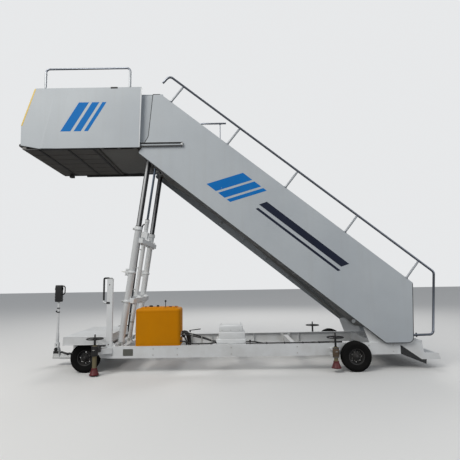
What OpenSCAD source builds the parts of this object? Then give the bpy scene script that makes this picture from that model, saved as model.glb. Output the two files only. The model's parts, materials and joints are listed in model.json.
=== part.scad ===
// Towed passenger stairs for aircraft: a chassis on four wheels, a flight of
// stairs hinged at its foot and lifted by telescopic legs, a platform that
// stays level, and a boarding cabin that slides over the platform.
// Millimetres. +X is the foot of the stairs, -X the towing end, +Z up,
// with the origin on the ground under the middle of the machine.

/* [Chassis] */
// Distance from the stringers' inner faces out to the side rails' outer faces
rail_out = 52; // [48:1:60]
// Width of a side rail's flanges
rail_flange = 60; // [50:1:70]
// Sheet thickness of the side rails
rail_wall = 8; // [6:0.5:10]
// Underside of the side rails above the ground
rail_z = 245; // [243:1:260]
// Height of the side rails
rail_h = 190; // [180:1:195]
// Front face of the chassis frame's main part
rail_front_x = -1950; // [-1960:1:-1940]
// Rear end of the side rails
rail_rear_x = 2880; // [2860:1:2900]
// Width of the cross members along the machine
cross_w = 80; // [60:1:90]
// Half distance between the two members under the front deck
nose_half_w = 300; // [280:1:320]
// Reach of the members under the front deck before the frame
nose_l = 735; // [715:1:740]
// Reach of the side rails' toes before the frame, at their tops
toe_l = 108; // [90:1:120]
// Underside of the members under the front deck
nose_z = 300; // [296:1:310]
// Height of the members under the front deck
nose_h = 120; // [110:1:126]

/* [Front deck] */
// Length of the deck before the frame
deck_l = 745; // [744:1:770]
// Top of the deck
deck_z = 600; // [580:1:620]
// Depth of the folded edge of the deck
deck_lip = 134; // [110:1:134]
// Sheet thickness of the deck
deck_wall = 6; // [4:0.5:8]

/* [Wheels] */
// Radius of the tyres
tyre_r = 240; // [230:1:245]
// Width of the tyres
tyre_w = 150; // [140:1:155]
// Radius of the rims
rim_r = 128; // [120:1:135]
// Distance of the front axle before the frame
front_axle_reach = 410; // [400:1:420]
// Rear axle
rear_axle_x = 2110; // [2100:1:2120]
// Centre plane of the front wheels from the middle
front_wheel_y = 625; // [620:1:630]
// Distance from the side rails out to the centre plane of the rear wheels
rear_wheel_out = 96; // [94:1:100]
// Radius of the stub axles
stub_r = 20; // [18:0.5:24]
// Distance of the kingpins from the middle
kingpin_y = 500; // [495:1:505]
// Radius of the kingpins
kingpin_r = 15; // [12:0.5:18]

/* [Steering] */
// Distance from the kingpins to the tie rod's pins
steer_arm = 150; // [140:1:160]
// Radius of the tie rod
tie_rod_r = 14; // [12:0.5:16]
// Radius of the steering pins
steer_pin_r = 12; // [10:0.5:13]
// Distance from the yoke's pivot to the tow bar's pin
yoke_reach = 750; // [730:5:770]
// Length of the tow bar from its pin to the centre of its eye
tow_bar_l = 1095; // [1050:5:1110]
// Height of the tow bar's pin
tow_pin_z = 290; // [285:1:295]
// Radius of the hole in the towing eye
tow_eye_r = 34; // [30:1:38]

/* [Jacks] */
// Distance from the side rails out to the jacks
jack_out = 145; // [142:1:155]
// Distance of the front jacks before the frame
front_jack_reach = 165; // [155:1:175]
// Rear jacks
rear_jack_x = 1775; // [1760:1:1780]
// Radius of the jack's inner tube
jack_tube_r = 34; // [30:0.5:36]
// Wall of the jack's sleeve
jack_sleeve_wall = 8; // [6:0.5:9]
// Height of the jack's sleeve
jack_sleeve_h = 154; // [140:1:165]
// Lower end of the front sleeves above the ground
front_sleeve_z = 316; // [300:1:325]
// Lower end of the rear sleeves above the ground
rear_sleeve_z = 234; // [230:1:240]
// Radius of the jack's handwheel
jack_wheel_r = 138; // [110:1:138]
// Height of the front handwheels above the ground
front_handwheel_z = 585; // [560:1:600]
// Height of the rear handwheels above the ground
rear_handwheel_z = 550; // [545:1:560]
// Radius of the spindle between the tube and the handwheel
jack_spindle_r = 17; // [13:0.5:20]
// Radius of the jack's foot
jack_foot_r = 80; // [70:1:84]
// Height of the jack's foot
jack_foot_h = 110; // [90:1:112]
// Gap under the front feet as the machine stands
front_foot_gap = 20; // [12:1:30]
// Gap under the rear feet as the machine stands
rear_foot_gap = 70; // [50:1:70]

/* [Stairs] */
// Number of treads on the flight
tread_count = 16; // [15:1:16]
// Rise from tread to tread
tread_rise = 200; // [198:1:202]
// Run from tread to tread
tread_run = 250; // [248:1:252]
// Depth of each tread
tread_depth = 280; // [265:1:285]
// Thickness of a tread's folded edge
tread_edge = 36; // [25:1:40]
// Half width between the stringers
stair_half_w = 728; // [700:1:740]
// Thickness of the stringers
stringer_t = 12; // [8:0.5:12]
// Hinge of the flight along the chassis
hinge_x = 2560; // [2555:1:2565]
// Hinge of the flight above the ground
hinge_z = 640; // [636:1:644]
// Radius of the hinge pins of the flight and the platform
hinge_pin_r = 25; // [20:0.5:28]
// Top edge of the side panels above the hinge line
panel_top_w = 955; // [940:5:965]
// Bottom edge of the side panels below the hinge line
panel_bottom_w = 125; // [115:1:128]
// Gap from the levelling links out to the side panels
panel_gap = 14; // [12:1:16]
// Depth of the flanges of the side panels
panel_depth = 30; // [26:1:31]
// Sheet thickness of the side panels
panel_wall = 3; // [2:0.5:4]
// Lower edge of the side panels' level part
panel_low_z = 430; // [425:1:435]
// Rear edge of the side panels at its top
panel_rear_x = 3132; // [3100:1:3140]
// Radius of the handrail tubes
rail_tube_r = 19; // [16:0.5:21]
// Height of the handrail over the side panels
handrail_h = 365; // [340:5:380]

/* [Platform and cabin] */
// Nosing where the stairs meet the platform
nose_x = -920; // [-922:1:-918]
// Floor of the platform above the ground
floor_z = 3850; // [3848:1:3852]
// Gap from the guide channels out to the cabin's walls
cabin_gap = 5; // [4:1:8]
// Thickness of the cabin's walls
cabin_wall = 20; // [18:0.5:20]
// Rear edge of the cabin's walls
cabin_rear_x = -1410; // [-1412:1:-1408]
// Front end of the cabin's walls
cabin_front_x = -3500; // [-3510:5:-3480]
// Lower edge of the cabin's walls
cabin_low_z = 3795; // [3790:1:3798]
// Upper edge of the cabin's walls
cabin_top_z = 4890; // [4860:5:4910]
// Height of the guard rails over the cabin's walls
guard_h = 360; // [330:5:380]
// Radius of the guard rails' tubes
guard_tube_r = 16; // [12:0.5:19]
// Travel of the cabin over the platform
cabin_travel = 580; // [560:1:580]
// Radius of the front bumper
bumper_r = 30; // [25:1:32]

/* [Lift] */
// Distance of the pin at the lift legs' feet behind the frame's front face
leg_foot_back = 167; // [160:1:175]
// Pin at the foot of the lift legs above the ground
leg_foot_z = 450; // [446:1:456]
// Distance of the legs from the middle
leg_y = 600; // [595:1:605]
// Radius of the legs' inner tubes
leg_in_r = 45; // [42:0.5:46]
// Wall of the legs' sleeves
leg_wall = 9; // [7:0.5:10]
// Length of the sleeves
leg_sleeve_l = 2020; // [1980:5:2040]
// Radius of the lift cylinder's barrel
barrel_r = 38; // [35:0.5:42]
// Radius of the lift cylinder's rod
rod_r = 22; // [20:0.5:24]
// Radius of the pins at the legs' feet
leg_pin_r = 18; // [15:0.5:20]
// Radius of the shaft through the legs' heads
head_shaft_r = 22; // [20:0.5:24]
// Half thickness of the levelling links
link_half_t = 15; // [12:1:15]
// Radius of the levelling links' pins
link_pin_r = 15; // [12:0.5:17]

/* [Boxes on the chassis] */
// Distance of the power unit's front face behind the frame's front face
power_back = 447; // [440:1:460]
// Length of the power unit
power_l = 748; // [720:1:760]
// Depth of the power unit across the machine
power_w = 420; // [380:5:480]
// Height of the power unit
power_h = 615; // [600:5:640]
// Radius of the power unit's upright corners
power_corner = 60; // [50:1:70]
// Radius of the power unit's top edges
power_edge = 45; // [20:1:48]
// Sheet thickness of the power unit's cover
power_wall = 4; // [3:0.5:6]
// Front face of the valve box
valve_x = -162; // [-180:1:-150]
// Length of the valve box
valve_l = 500; // [460:5:520]
// Depth of the valve box across the machine
valve_w = 350; // [300:5:380]

/* [Hidden] */
$fn = 48;

LEFT = -1;
RIGHT = 1;

white = [0.86, 0.88, 0.89];
panel_grey = [0.74, 0.77, 0.80];
dark = [0.16, 0.17, 0.18];
tube_dark = [0.25, 0.28, 0.31];
steel = [0.62, 0.64, 0.66];
yellow = [0.86, 0.52, 0.04];
red = [0.72, 0.10, 0.10];
rubber = [0.07, 0.07, 0.07];

// Running clearance of a pin in its hole, seat gap of faces on two bodies
pin_gap = 0.06;
seat_gap = 0.3;

// Slope of the stairs
slope = atan(tread_rise / tread_run);
rail_half_w = stair_half_w + rail_out;
rail_top = rail_z + rail_h;
rail_in_y = rail_half_w - rail_flange;
toe_t = 30;
nose_front_x = rail_front_x - nose_l;
post_front_x = rail_front_x - 30;
deck_front_x = rail_front_x - deck_l;
front_axle_x = rail_front_x - front_axle_reach;
rear_wheel_y = rail_half_w + rear_wheel_out;
jack_y = rail_half_w + jack_out;
leg_foot_x = rail_front_x + leg_foot_back;
power_x = rail_front_x + power_back;

// A point of the flight from its distance up the slope and square to it
function flight(u, w) = [hinge_x - u * cos(slope) + w * sin(slope),
                         hinge_z + u * sin(slope) + w * cos(slope)];
function along(p) = (hinge_x - p.x) * cos(slope) + (p.y - hinge_z) * sin(slope);
function square(p) = (p.x - hinge_x) * sin(slope) + (p.y - hinge_z) * cos(slope);
// Height of the line w above the hinge line at x, and its x at height z
function z_on(w, x) = hinge_z + (hinge_x - x) * tan(slope) + w / cos(slope);
function x_on(w, z) = hinge_x - (z - hinge_z - w / cos(slope)) / tan(slope);

hinge = [hinge_x, hinge_z];
platform_hinge = [nose_x - 40, floor_z - 120];
lift_pin = [nose_x - 405, floor_z - 130];
leg_foot = [leg_foot_x, leg_foot_z];
leg_lean = atan2(lift_pin.x - leg_foot.x, lift_pin.y - leg_foot.y);
leg_l = norm(lift_pin - leg_foot);
link_offset = [-20, -110];

// Side positions, counted outwards from the middle
stringer_out_y = stair_half_w + stringer_t;
cheek_y = stringer_out_y + 8;
cheek_t = 14;
link_y = cheek_y + cheek_t + 6;
lug_y = stringer_out_y - 45;
panel_in_y = link_y + 2 * link_half_t + panel_gap;
panel_out_y = panel_in_y + panel_depth;
guide_in_y = panel_out_y + 8;
guide_d = 30;
cabin_in_y = guide_in_y + guide_d + cabin_gap;
cabin_out_y = cabin_in_y + cabin_wall;

// Directions of an outline, and its corners rounded: rows are [x, z, radius]
function unit(v) = v / norm(v);
function arc_corner(a, b, c, r, n = 6) =
    let (u = unit(a - b), v = unit(c - b),
         half = acos(u * v) / 2,
         centre = b + unit(u + v) * r / sin(half),
         t0 = b + u * r / tan(half) - centre,
         t1 = b + v * r / tan(half) - centre,
         a0 = atan2(t0.y, t0.x),
         turn = ((atan2(t1.y, t1.x) - a0 + 540) % 360) - 180)
    [for (i = [0:n]) centre + r * [cos(a0 + turn * i / n), sin(a0 + turn * i / n)]];
function xy(row) = [row.x, row.y];
function rounded(rows) =
    let (n = len(rows))
    [for (i = [0:n - 1])
        each rows[i][2] > 0
            ? arc_corner(xy(rows[(i + n - 1) % n]), xy(rows[i]), xy(rows[(i + 1) % n]), rows[i][2])
            : [xy(rows[i])]];
// The same outline, drawn counter-clockwise, moved inwards by d
function inward(a, b) = let (e = unit(b - a)) [-e.y, e.x];
function inset(rows, d) =
    let (n = len(rows))
    [for (i = [0:n - 1])
        let (b = xy(rows[i]),
             n0 = inward(xy(rows[(i + n - 1) % n]), b),
             n1 = inward(b, xy(rows[(i + 1) % n])),
             p = b + (n0 + n1) * d / (1 + n0 * n1))
        [p.x, p.y, max(rows[i][2] - d, 0)]];

// A profile in x and z, made solid from y0 to y1
module slab(y0, y1) {
    translate([0, y1, 0]) rotate([90, 0, 0]) linear_extrude(y1 - y0) children();
}
// What is drawn on the right side, placed on a given side or on both
module on_side(side) {
    if (side == LEFT) mirror([0, 1, 0]) children();
    else children();
}
module both_sides() {
    for (side = [LEFT, RIGHT]) on_side(side) children();
}
// A box from its low to its high corner
module block(low, high) {
    translate(low) cube(high - low);
}
// A round bar along y, or from one point to another
module bar_y(p, r, y0, y1) {
    translate([p.x, y0, p.y]) rotate([-90, 0, 0]) cylinder(r = r, h = y1 - y0);
}
module bar(a, b, r) {
    d = b - a;
    translate(a) rotate([0, acos(d.z / norm(d)), atan2(d.y, d.x)]) cylinder(r = r, h = norm(d));
}
// A tube in the plane y through the points [x, z]. Its corners are elbows, a
// little thicker than the tube, and the straight lengths sit inside their ends.
elbow_over = 0.8;
elbow_seat = 4;
function turn_at(points, i) =
    acos(unit(points[i] - points[i - 1]) * unit(points[i + 1] - points[i]));
function bend_reach(points, i, bend) =
    i == 0 || i == len(points) - 1 ? 0 : bend * tan(turn_at(points, i) / 2);
module bent_tube(points, y, r, bend) {
    last = len(points) - 1;
    for (i = [0:last - 1]) {
        e = unit(points[i + 1] - points[i]);
        a = points[i] + e * (bend_reach(points, i, bend) - (i == 0 ? 0 : elbow_seat));
        b = points[i + 1] - e * (bend_reach(points, i + 1, bend) - (i == last - 1 ? 0 : elbow_seat));
        bar([a.x, y, a.y], [b.x, y, b.y], r);
    }
    for (i = [1:last - 1]) {
        e0 = unit(points[i] - points[i - 1]);
        e1 = unit(points[i + 1] - points[i]);
        turn = turn_at(points, i);
        centre = points[i] + unit(e1 - e0) * bend / cos(turn / 2);
        out = unit(e0 - e1);
        translate([centre.x, y, centre.y]) rotate([90, 0, 0])
            rotate([0, 0, atan2(out.y, out.x) - turn / 2])
                rotate_extrude(angle = turn) translate([bend, 0]) circle(r = r + elbow_over);
    }
}

// Chassis
module side_rail() {
    difference() {
        block([rail_front_x + cross_w, rail_in_y, rail_z], [rail_rear_x, rail_half_w, rail_top]);
        block([rail_front_x + cross_w - 1, rail_in_y - 1, rail_z + rail_wall],
              [rail_rear_x + 1, rail_half_w - rail_wall, rail_top - rail_wall]);
    }
}
// Cross members: [centre x, underside, top]
cross_members = [
    [leg_foot_x, rail_z + 20, 390],
    [-1450, rail_z + 60, rail_top],
    [-800, rail_z + 60, rail_top],
    [valve_x + valve_l / 2, rail_z + 60, rail_top],
    [1180, rail_z + 60, rail_top - 40],
    [hinge_x, rail_z + 40, rail_top - 20],
    [rail_rear_x - cross_w / 2, rail_z + 40, rail_top - 20]
];
module chassis_frame() {
    color(white) {
        both_sides() side_rail();
        block([rail_front_x, -rail_half_w, rail_z], [rail_front_x + cross_w, rail_half_w, rail_top]);
        for (m = cross_members)
            block([m.x - cross_w / 2, -rail_half_w + rail_wall / 2, m.y],
                  [m.x + cross_w / 2, rail_half_w - rail_wall / 2, m[2]]);
        both_sides() {
            block([nose_front_x, nose_half_w - 40, nose_z],
                  [rail_front_x + 1, nose_half_w + 40, nose_z + nose_h]);
        }
        block([nose_front_x, -nose_half_w, nose_z], [nose_front_x + 60, nose_half_w, nose_z + nose_h]);
        both_sides() slab(rail_half_w - toe_t, rail_half_w) polygon([
            [rail_front_x + 1, rail_z], [rail_front_x + 1, rail_top], [rail_front_x - toe_l, rail_top],
            [rail_front_x - toe_l - 48, rail_z + 85], [rail_front_x - toe_l - 8, rail_z + 14]]);
        for (y = [-leg_y, 0, leg_y]) {
            for (side = [LEFT, RIGHT]) translate([0, y + side * 30, 0]) slab(-6, 6) {
                translate(leg_foot) circle(r = 34);
                translate([leg_foot.x - 34, 389]) square([68, leg_foot.y - 389]);
            }
            bar_y(leg_foot, leg_pin_r, y - 40, y + 40);
        }
    }
}

module front_deck() {
    rib_y = nose_half_w + 40;
    color(white) {
        difference() {
            block([deck_front_x, -rail_half_w, deck_z - deck_lip], [post_front_x, rail_half_w, deck_z]);
            block([deck_front_x + deck_wall, -rail_half_w + deck_wall, deck_z - deck_lip - 1],
                  [post_front_x - deck_wall, rail_half_w - deck_wall, deck_z - deck_wall]);
        }
        for (x = [nose_front_x + 30, front_axle_x, post_front_x - 60])
            block([x - 20, -rib_y, nose_z + nose_h], [x + 20, rib_y, deck_z - deck_wall / 2]);
    }
}

// Two fixed steps behind the flight
step_low_z = 250;
step_high_z = 455;
step_tip_x = 3530;
step_riser_x = 3255;
module tail_steps() {
    color(white) {
        both_sides() slab(rail_half_w - 20, rail_half_w) polygon([
            [rail_rear_x, rail_top - 40], [step_tip_x - 312, 157], [step_tip_x, 157],
            [step_tip_x - 32, step_low_z + 5], [step_riser_x + 24, step_low_z + 12],
            [step_riser_x + 4, step_low_z + 30], [step_riser_x - 10, step_high_z - 48],
            [step_riser_x - 28, step_high_z - 22], [step_riser_x - 118, step_high_z + 42],
            [rail_rear_x, step_high_z + 42]]);
        block([step_riser_x - 10, -rail_half_w + 19, step_low_z - 30],
              [step_tip_x - 25, rail_half_w - 19, step_low_z]);
        block([rail_rear_x + 60, -rail_half_w + 19, step_high_z - 30],
              [step_riser_x - 4, rail_half_w - 19, step_high_z]);
        block([step_riser_x - 10, -rail_half_w + 19, step_low_z - 30],
              [step_riser_x - 4, rail_half_w - 19, step_high_z]);
    }
}

module flight_brackets() {
    foot = 160;
    color(white) both_sides() {
        slab(cheek_y, cheek_y + cheek_t) polygon(rounded([
            [hinge_x - foot - 20, rail_top, 0], [hinge_x + foot, rail_top, 0],
            [hinge_x + 62, hinge_z + 66, 50], [hinge_x - foot - 70, hinge_z + 66, 30],
            [hinge_x - foot - 104, hinge_z + 32, 12]]));
        bar_y(hinge, hinge_pin_r, lug_y - 6, cheek_y + 1);
        bar_y(hinge, hinge_pin_r + 12, lug_y - 14, lug_y - 6);
        bar_y(hinge + link_offset, link_pin_r, cheek_y + cheek_t - 1, link_y + 2 * link_half_t + 5);
    }
}

module front_axle() {
    ear_out = kingpin_y + 28;
    ear_in = kingpin_y - 48;
    ear_half = 28;
    color(dark) {
        block([front_axle_x - 40, -ear_in, 200], [front_axle_x + 40, ear_in, 280]);
        both_sides() {
            block([front_axle_x - 40, nose_half_w - 40, 279], [front_axle_x + 40, nose_half_w + 40, nose_z]);
            difference() {
                union() {
                    block([front_axle_x - ear_half, ear_in - 1, 170],
                          [front_axle_x + ear_half, ear_in + 10, 310]);
                    for (z = [170, 292])
                        block([front_axle_x - ear_half, ear_in, z],
                              [front_axle_x + ear_half, ear_out, z + 18]);
                }
                translate([front_axle_x, kingpin_y, 160])
                    cylinder(r = kingpin_r + pin_gap, h = 160);
            }
        }
        translate([front_axle_x, 0, 128]) cylinder(r = 30, h = 73);
    }
}

module rear_axle() {
    color(dark) both_sides() {
        block([rear_axle_x - 38, -1, 165], [rear_axle_x + 38, rail_half_w + 16, 239]);
        block([rear_axle_x - 60, rail_in_y, 238], [rear_axle_x + 60, rail_half_w, rail_z]);
        block([rear_axle_x - 60, rail_half_w, 166], [rear_axle_x + 60, rail_half_w + 16, 300]);
        bar_y([rear_axle_x, tyre_r], stub_r, rail_half_w + 15, rear_wheel_y + 30);
    }
}

// Jacks: [x, gap under the foot, handwheel's height, sleeve's lower end]
front_jack = [rail_front_x - front_jack_reach, front_foot_gap, front_handwheel_z, front_sleeve_z];
rear_jack = [rear_jack_x, rear_foot_gap, rear_handwheel_z, rear_sleeve_z];
jack_sleeve_r = jack_tube_r + seat_gap + jack_sleeve_wall;
jack_plate_t = 20;
module jack_sleeve(jack) {
    low = jack[3];
    difference() {
        union() {
            translate([jack.x, jack_y, low]) cylinder(r = jack_sleeve_r, h = jack_sleeve_h);
            children();
        }
        translate([jack.x, jack_y, low - 1])
            cylinder(r = jack_tube_r + seat_gap, h = jack_sleeve_h + 2);
    }
}
module jack_sleeves() {
    color(white) both_sides() {
        jack_sleeve(rear_jack) for (z = [22, jack_sleeve_h - 22 - jack_plate_t])
            block([rear_jack_x - 70, rail_half_w, rear_sleeve_z + z],
                  [rear_jack_x + 70, jack_y, rear_sleeve_z + z + jack_plate_t]);
        jack_sleeve(front_jack)
            translate([0, 0, front_sleeve_z + 14]) linear_extrude(90) polygon([
                [rail_front_x + cross_w, rail_half_w], [rail_front_x + cross_w, rail_half_w + 24],
                [front_jack.x, jack_y + 12], [front_jack.x, jack_y - 26],
                [rail_front_x - 20, rail_half_w + 10], [rail_front_x, rail_half_w]]);
    }
}

module front_post() {
    post_top = 1548;
    post_w = 93;
    post_d = 60;
    grip_r = 14;
    grip_x = post_front_x - 60;
    color(white)
        block([post_front_x, -rail_half_w, rail_top],
              [post_front_x + post_w, -rail_half_w + post_d, post_top]);
    color(tube_dark) bent_tube([
        [post_front_x + 1, 1150], [grip_x, 1150], [grip_x, post_top + grip_r - 2],
        [post_front_x + post_w - 20, post_top + grip_r - 2]], post_d / 2 - rail_half_w, grip_r, 20);
}

power_y = -rail_half_w;
lever_l = 100;
lever_ball_r = 18;
// The cover's plan, and the whole cover with its top edges rounded, both moved inwards by d
module power_plan(d) {
    r = power_corner - d;
    c = power_corner;
    translate([power_x, power_y]) {
        for (x = [c, power_l - c]) for (y = [c, power_w - c]) translate([x, y]) circle(r = r, $fn = 32);
        translate([c, d]) square([power_l - 2 * c, power_w - 2 * d]);
        translate([d, c]) square([power_l - 2 * d, power_w - 2 * c]);
    }
}
module power_body(d) {
    r = power_edge - d;
    hull() {
        linear_extrude(power_h - power_edge) power_plan(d);
        for (a = [18:18:90]) translate([0, 0, power_h - power_edge + r * sin(a) - 0.1])
            linear_extrude(0.1) power_plan(d + r * (1 - cos(a)));
    }
}
module power_unit() {
    color(yellow) translate([0, 0, rail_top]) difference() {
        power_body(0);
        translate([0, 0, -1]) power_body(power_wall);
    }
    color(rubber) translate([power_x + power_l * 0.66, power_y + 80, rail_top + power_h - 1]) {
        cylinder(r = 6, h = lever_l);
        translate([0, 0, lever_l]) sphere(r = lever_ball_r);
    }
}
module power_block() {
    gap = 80;
    color(dark) block([power_x + gap - 30, power_y + gap, rail_top],
                      [power_x + power_l - gap, power_y + power_w - gap, rail_top + power_h - 2 * gap]);
}

// Tiers of the valve box: [inset in front, inset behind, inset at the sides, top]
valve_tiers = [[0, 0, 0, 518], [44, 10, 8, 628], [54, 48, 16, 733]];
module valve_box() {
    color(white) for (i = [0:2]) {
        tier = valve_tiers[i];
        low = i == 0 ? rail_top : valve_tiers[i - 1][3] - 1;
        block([valve_x + tier.x, -700 + tier.z, low],
              [valve_x + valve_l - tier.y, -700 + valve_w - tier.z, tier[3]]);
    }
}

// Wheels
// A wheel is drawn about y with its middle at the origin, outer side to +y
tyre_profile = [
    [rim_r, -tyre_w * 0.36], [rim_r + 18, -tyre_w * 0.44], [rim_r + 55, -tyre_w * 0.5],
    [tyre_r - 30, -tyre_w * 0.48], [tyre_r - 8, -tyre_w * 0.4], [tyre_r, -tyre_w * 0.28],
    [tyre_r, tyre_w * 0.28], [tyre_r - 8, tyre_w * 0.4], [tyre_r - 30, tyre_w * 0.48],
    [rim_r + 55, tyre_w * 0.5], [rim_r + 18, tyre_w * 0.44], [rim_r, tyre_w * 0.36]];
module tyre() {
    color(rubber) rotate([-90, 0, 0]) rotate_extrude($fn = 96) polygon(tyre_profile);
}
module rim() {
    hub = stub_r + pin_gap;
    color(dark) rotate([-90, 0, 0]) difference() {
        rotate_extrude($fn = 96) polygon([
            [hub, -42], [hub + 22, -42], [hub + 22, -4], [rim_r - 12, -16],
            [rim_r - 12, -tyre_w * 0.34], [rim_r, -tyre_w * 0.36],
            [rim_r, tyre_w * 0.36], [rim_r - 12, tyre_w * 0.34],
            [rim_r - 12, -4], [hub + 40, 10], [hub + 22, 34], [hub, 34]]);
        for (i = [0:7]) rotate([0, 0, i * 45]) translate([(rim_r + hub) * 0.6, 0, -30])
            cylinder(r = 11, h = 60);
    }
}
module at_wheel(x, y, side) {
    on_side(side) translate([x, y, tyre_r]) children();
}
module rim_front_left() { at_wheel(front_axle_x, front_wheel_y, LEFT) rim(); }
module rim_front_right() { at_wheel(front_axle_x, front_wheel_y, RIGHT) rim(); }
module rim_rear_left() { at_wheel(rear_axle_x, rear_wheel_y, LEFT) rim(); }
module rim_rear_right() { at_wheel(rear_axle_x, rear_wheel_y, RIGHT) rim(); }
module tyre_front_left() { at_wheel(front_axle_x, front_wheel_y, LEFT) tyre(); }
module tyre_front_right() { at_wheel(front_axle_x, front_wheel_y, RIGHT) tyre(); }
module tyre_rear_left() { at_wheel(rear_axle_x, rear_wheel_y, LEFT) tyre(); }
module tyre_rear_right() { at_wheel(rear_axle_x, rear_wheel_y, RIGHT) tyre(); }

// Steering
arm_z = 195;
module knuckle() {
    translate([front_axle_x, kingpin_y, 0]) {
        translate([0, 0, 192]) cylinder(r = 30, h = 96);
        translate([0, 0, 166]) cylinder(r = kingpin_r, h = 148);
        bar_y([0, tyre_r], stub_r, 0, front_wheel_y - kingpin_y + 42);
        block([0, -18, arm_z], [steer_arm, 18, arm_z + 20]);
        translate([steer_arm, 0, arm_z]) cylinder(r = 26, h = 20);
        translate([steer_arm, 0, arm_z - 2 * tie_rod_r - 4])
            cylinder(r = steer_pin_r, h = 2 * tie_rod_r + 5);
    }
}
module knuckle_left() { color(dark) on_side(LEFT) knuckle(); }
module knuckle_right() { color(dark) on_side(RIGHT) knuckle(); }
module tie_rod() {
    z0 = arm_z - 2 * tie_rod_r - 2;
    color(steel) translate([front_axle_x + steer_arm, 0, 0]) difference() {
        union() {
            bar_y([0, z0 + tie_rod_r], tie_rod_r, -kingpin_y, kingpin_y);
            for (y = [-kingpin_y, 0, kingpin_y]) translate([0, y, z0]) cylinder(r = 26, h = 2 * tie_rod_r);
        }
        for (y = [-kingpin_y, 0, kingpin_y]) translate([0, y, z0 - 1])
            cylinder(r = steer_pin_r + pin_gap, h = 2 * tie_rod_r + 2);
    }
}
yoke_z = 132;
yoke_t = 30;
yoke_beam_half = 38;
yoke_beam_h = 68;
module steering_yoke() {
    front = front_axle_x - yoke_reach;
    color(white) difference() {
        union() {
            translate([front_axle_x, 0, yoke_z]) cylinder(r = 62, h = 66);
            block([front_axle_x, -40, yoke_z], [front_axle_x + steer_arm, 40, yoke_z + yoke_t]);
            translate([front_axle_x + steer_arm, 0, yoke_z]) cylinder(r = 40, h = yoke_t);
            translate([front_axle_x + steer_arm, 0, yoke_z + yoke_t - 1]) cylinder(r = steer_pin_r, h = 34);
            translate([0, 0, yoke_z]) linear_extrude(yoke_t) polygon([
                [front_axle_x, -62], [front_axle_x, 62], [front + 40, 90], [front - 40, 90],
                [front - 40, -90], [front + 40, -90]]);
            block([front + 75, -yoke_beam_half, yoke_z - 14],
                  [front_axle_x - 110, yoke_beam_half, yoke_z - 14 + yoke_beam_h]);
            both_sides() slab(34, 52) polygon(rounded([
                [front - 60, yoke_z, 0], [front + 70, yoke_z, 0],
                [front + 34, tow_pin_z + 34, 30], [front - 34, tow_pin_z + 34, 30]]));
        }
        translate([front_axle_x, 0, yoke_z - 1]) cylinder(r = 30 + pin_gap, h = 80);
        bar_y([front, tow_pin_z], steer_pin_r + pin_gap, -60, 60);
    }
}
module tow_bar() {
    front = front_axle_x - yoke_reach;
    eye_z = tow_pin_z + tow_bar_l;
    head = 60;
    color(white) {
        bar_y([front, tow_pin_z], 30, -28, 28);
        bar_y([front, tow_pin_z], steer_pin_r, -60, 60);
        bar([front, 0, tow_pin_z], [front, 0, eye_z - 238], 26);
    }
    color(dark) difference() {
        union() {
            block([front - head, -46, eye_z - 240], [front + head, 46, eye_z + 68]);
            slab(-12, 12) polygon(rounded([
                [front + head - 1, eye_z - 130, 0], [front + head + 60, eye_z - 100, 30],
                [front + head + 60, eye_z + 60, 30], [front + head - 1, eye_z + 60, 0]]));
        }
        translate([front - head - 1, 0, eye_z]) rotate([0, 90, 0]) cylinder(r = tow_eye_r, h = 2 * head + 2);
        slab(-13, 13) polygon([
            [front + head, eye_z - 90], [front + head + 36, eye_z - 76],
            [front + head + 36, eye_z + 30], [front + head, eye_z + 30]]);
    }
}

// Jacks
jack_ring_r = 9;
jack_spoke_r = 6;
module jack(row) {
    foot_top = row.y + jack_foot_h;
    tube_top = row[3] + jack_sleeve_h + 12;
    ring_r = jack_wheel_r - jack_ring_r;
    translate([row.x, jack_y, 0]) {
        color(red) {
            translate([0, 0, row.y]) cylinder(r = jack_foot_r, h = 12);
            translate([0, 0, row.y + 11])
                cylinder(r1 = jack_foot_r - 6, r2 = jack_tube_r + 12, h = jack_foot_h - 31);
            translate([0, 0, foot_top - 21]) cylinder(r = jack_tube_r + 12, h = 21);
        }
        color(tube_dark) {
            translate([0, 0, foot_top - 2]) cylinder(r = jack_tube_r, h = tube_top - foot_top + 2);
            translate([0, 0, tube_top - 1]) cylinder(r = jack_spindle_r, h = row.z + 14 - tube_top);
            translate([0, 0, row.z]) rotate_extrude() translate([ring_r, 0])
                circle(r = jack_ring_r, $fn = 20);
            for (i = [0:2]) rotate([0, 0, 120 * i]) bar([0, 0, row.z], [ring_r, 0, row.z], jack_spoke_r);
            translate([0, 0, row.z - 14]) cylinder(r = jack_spindle_r + 12, h = 28);
            translate([0, 0, row.z + 13]) cylinder(r = jack_spindle_r - 5, h = 57);
        }
    }
}
module jack_front_left() { on_side(LEFT) jack(front_jack); }
module jack_front_right() { on_side(RIGHT) jack(front_jack); }
module jack_rear_left() { on_side(LEFT) jack(rear_jack); }
module jack_rear_right() { on_side(RIGHT) jack(rear_jack); }

// Lift
// A leg's parts are drawn along z from the foot pin and leaned to the lift pin
module leaned() {
    translate([leg_foot.x, 0, leg_foot.y]) rotate([0, leg_lean, 0]) children();
}
module ring(y, r_out, r_in, low, high) {
    translate([0, y, low]) difference() {
        cylinder(r = r_out, h = high - low);
        translate([0, 0, -1]) cylinder(r = r_in, h = high - low + 2);
    }
}
module foot_eye(y) {
    difference() {
        union() {
            bar_y([0, 0], 32, y - 20, y + 20);
            translate([-28, y - 20, 0]) cube([56, 40, 42]);
        }
        bar_y([0, 0], leg_pin_r + pin_gap, y - 21, y + 21);
    }
}
leg_out_r = leg_in_r + 1 + leg_wall;
module leg_sleeve(y) {
    color(white) leaned() {
        ring(y, leg_out_r, leg_in_r + 1, 60, leg_sleeve_l);
        ring(y, leg_out_r + 9, leg_in_r + seat_gap, leg_sleeve_l - 60, leg_sleeve_l);
        translate([0, y, 40]) cylinder(r = leg_out_r, h = 25);
        foot_eye(y);
    }
}
module leg_sleeve_left() {
    leg_sleeve(LEFT * leg_y);
}
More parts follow.
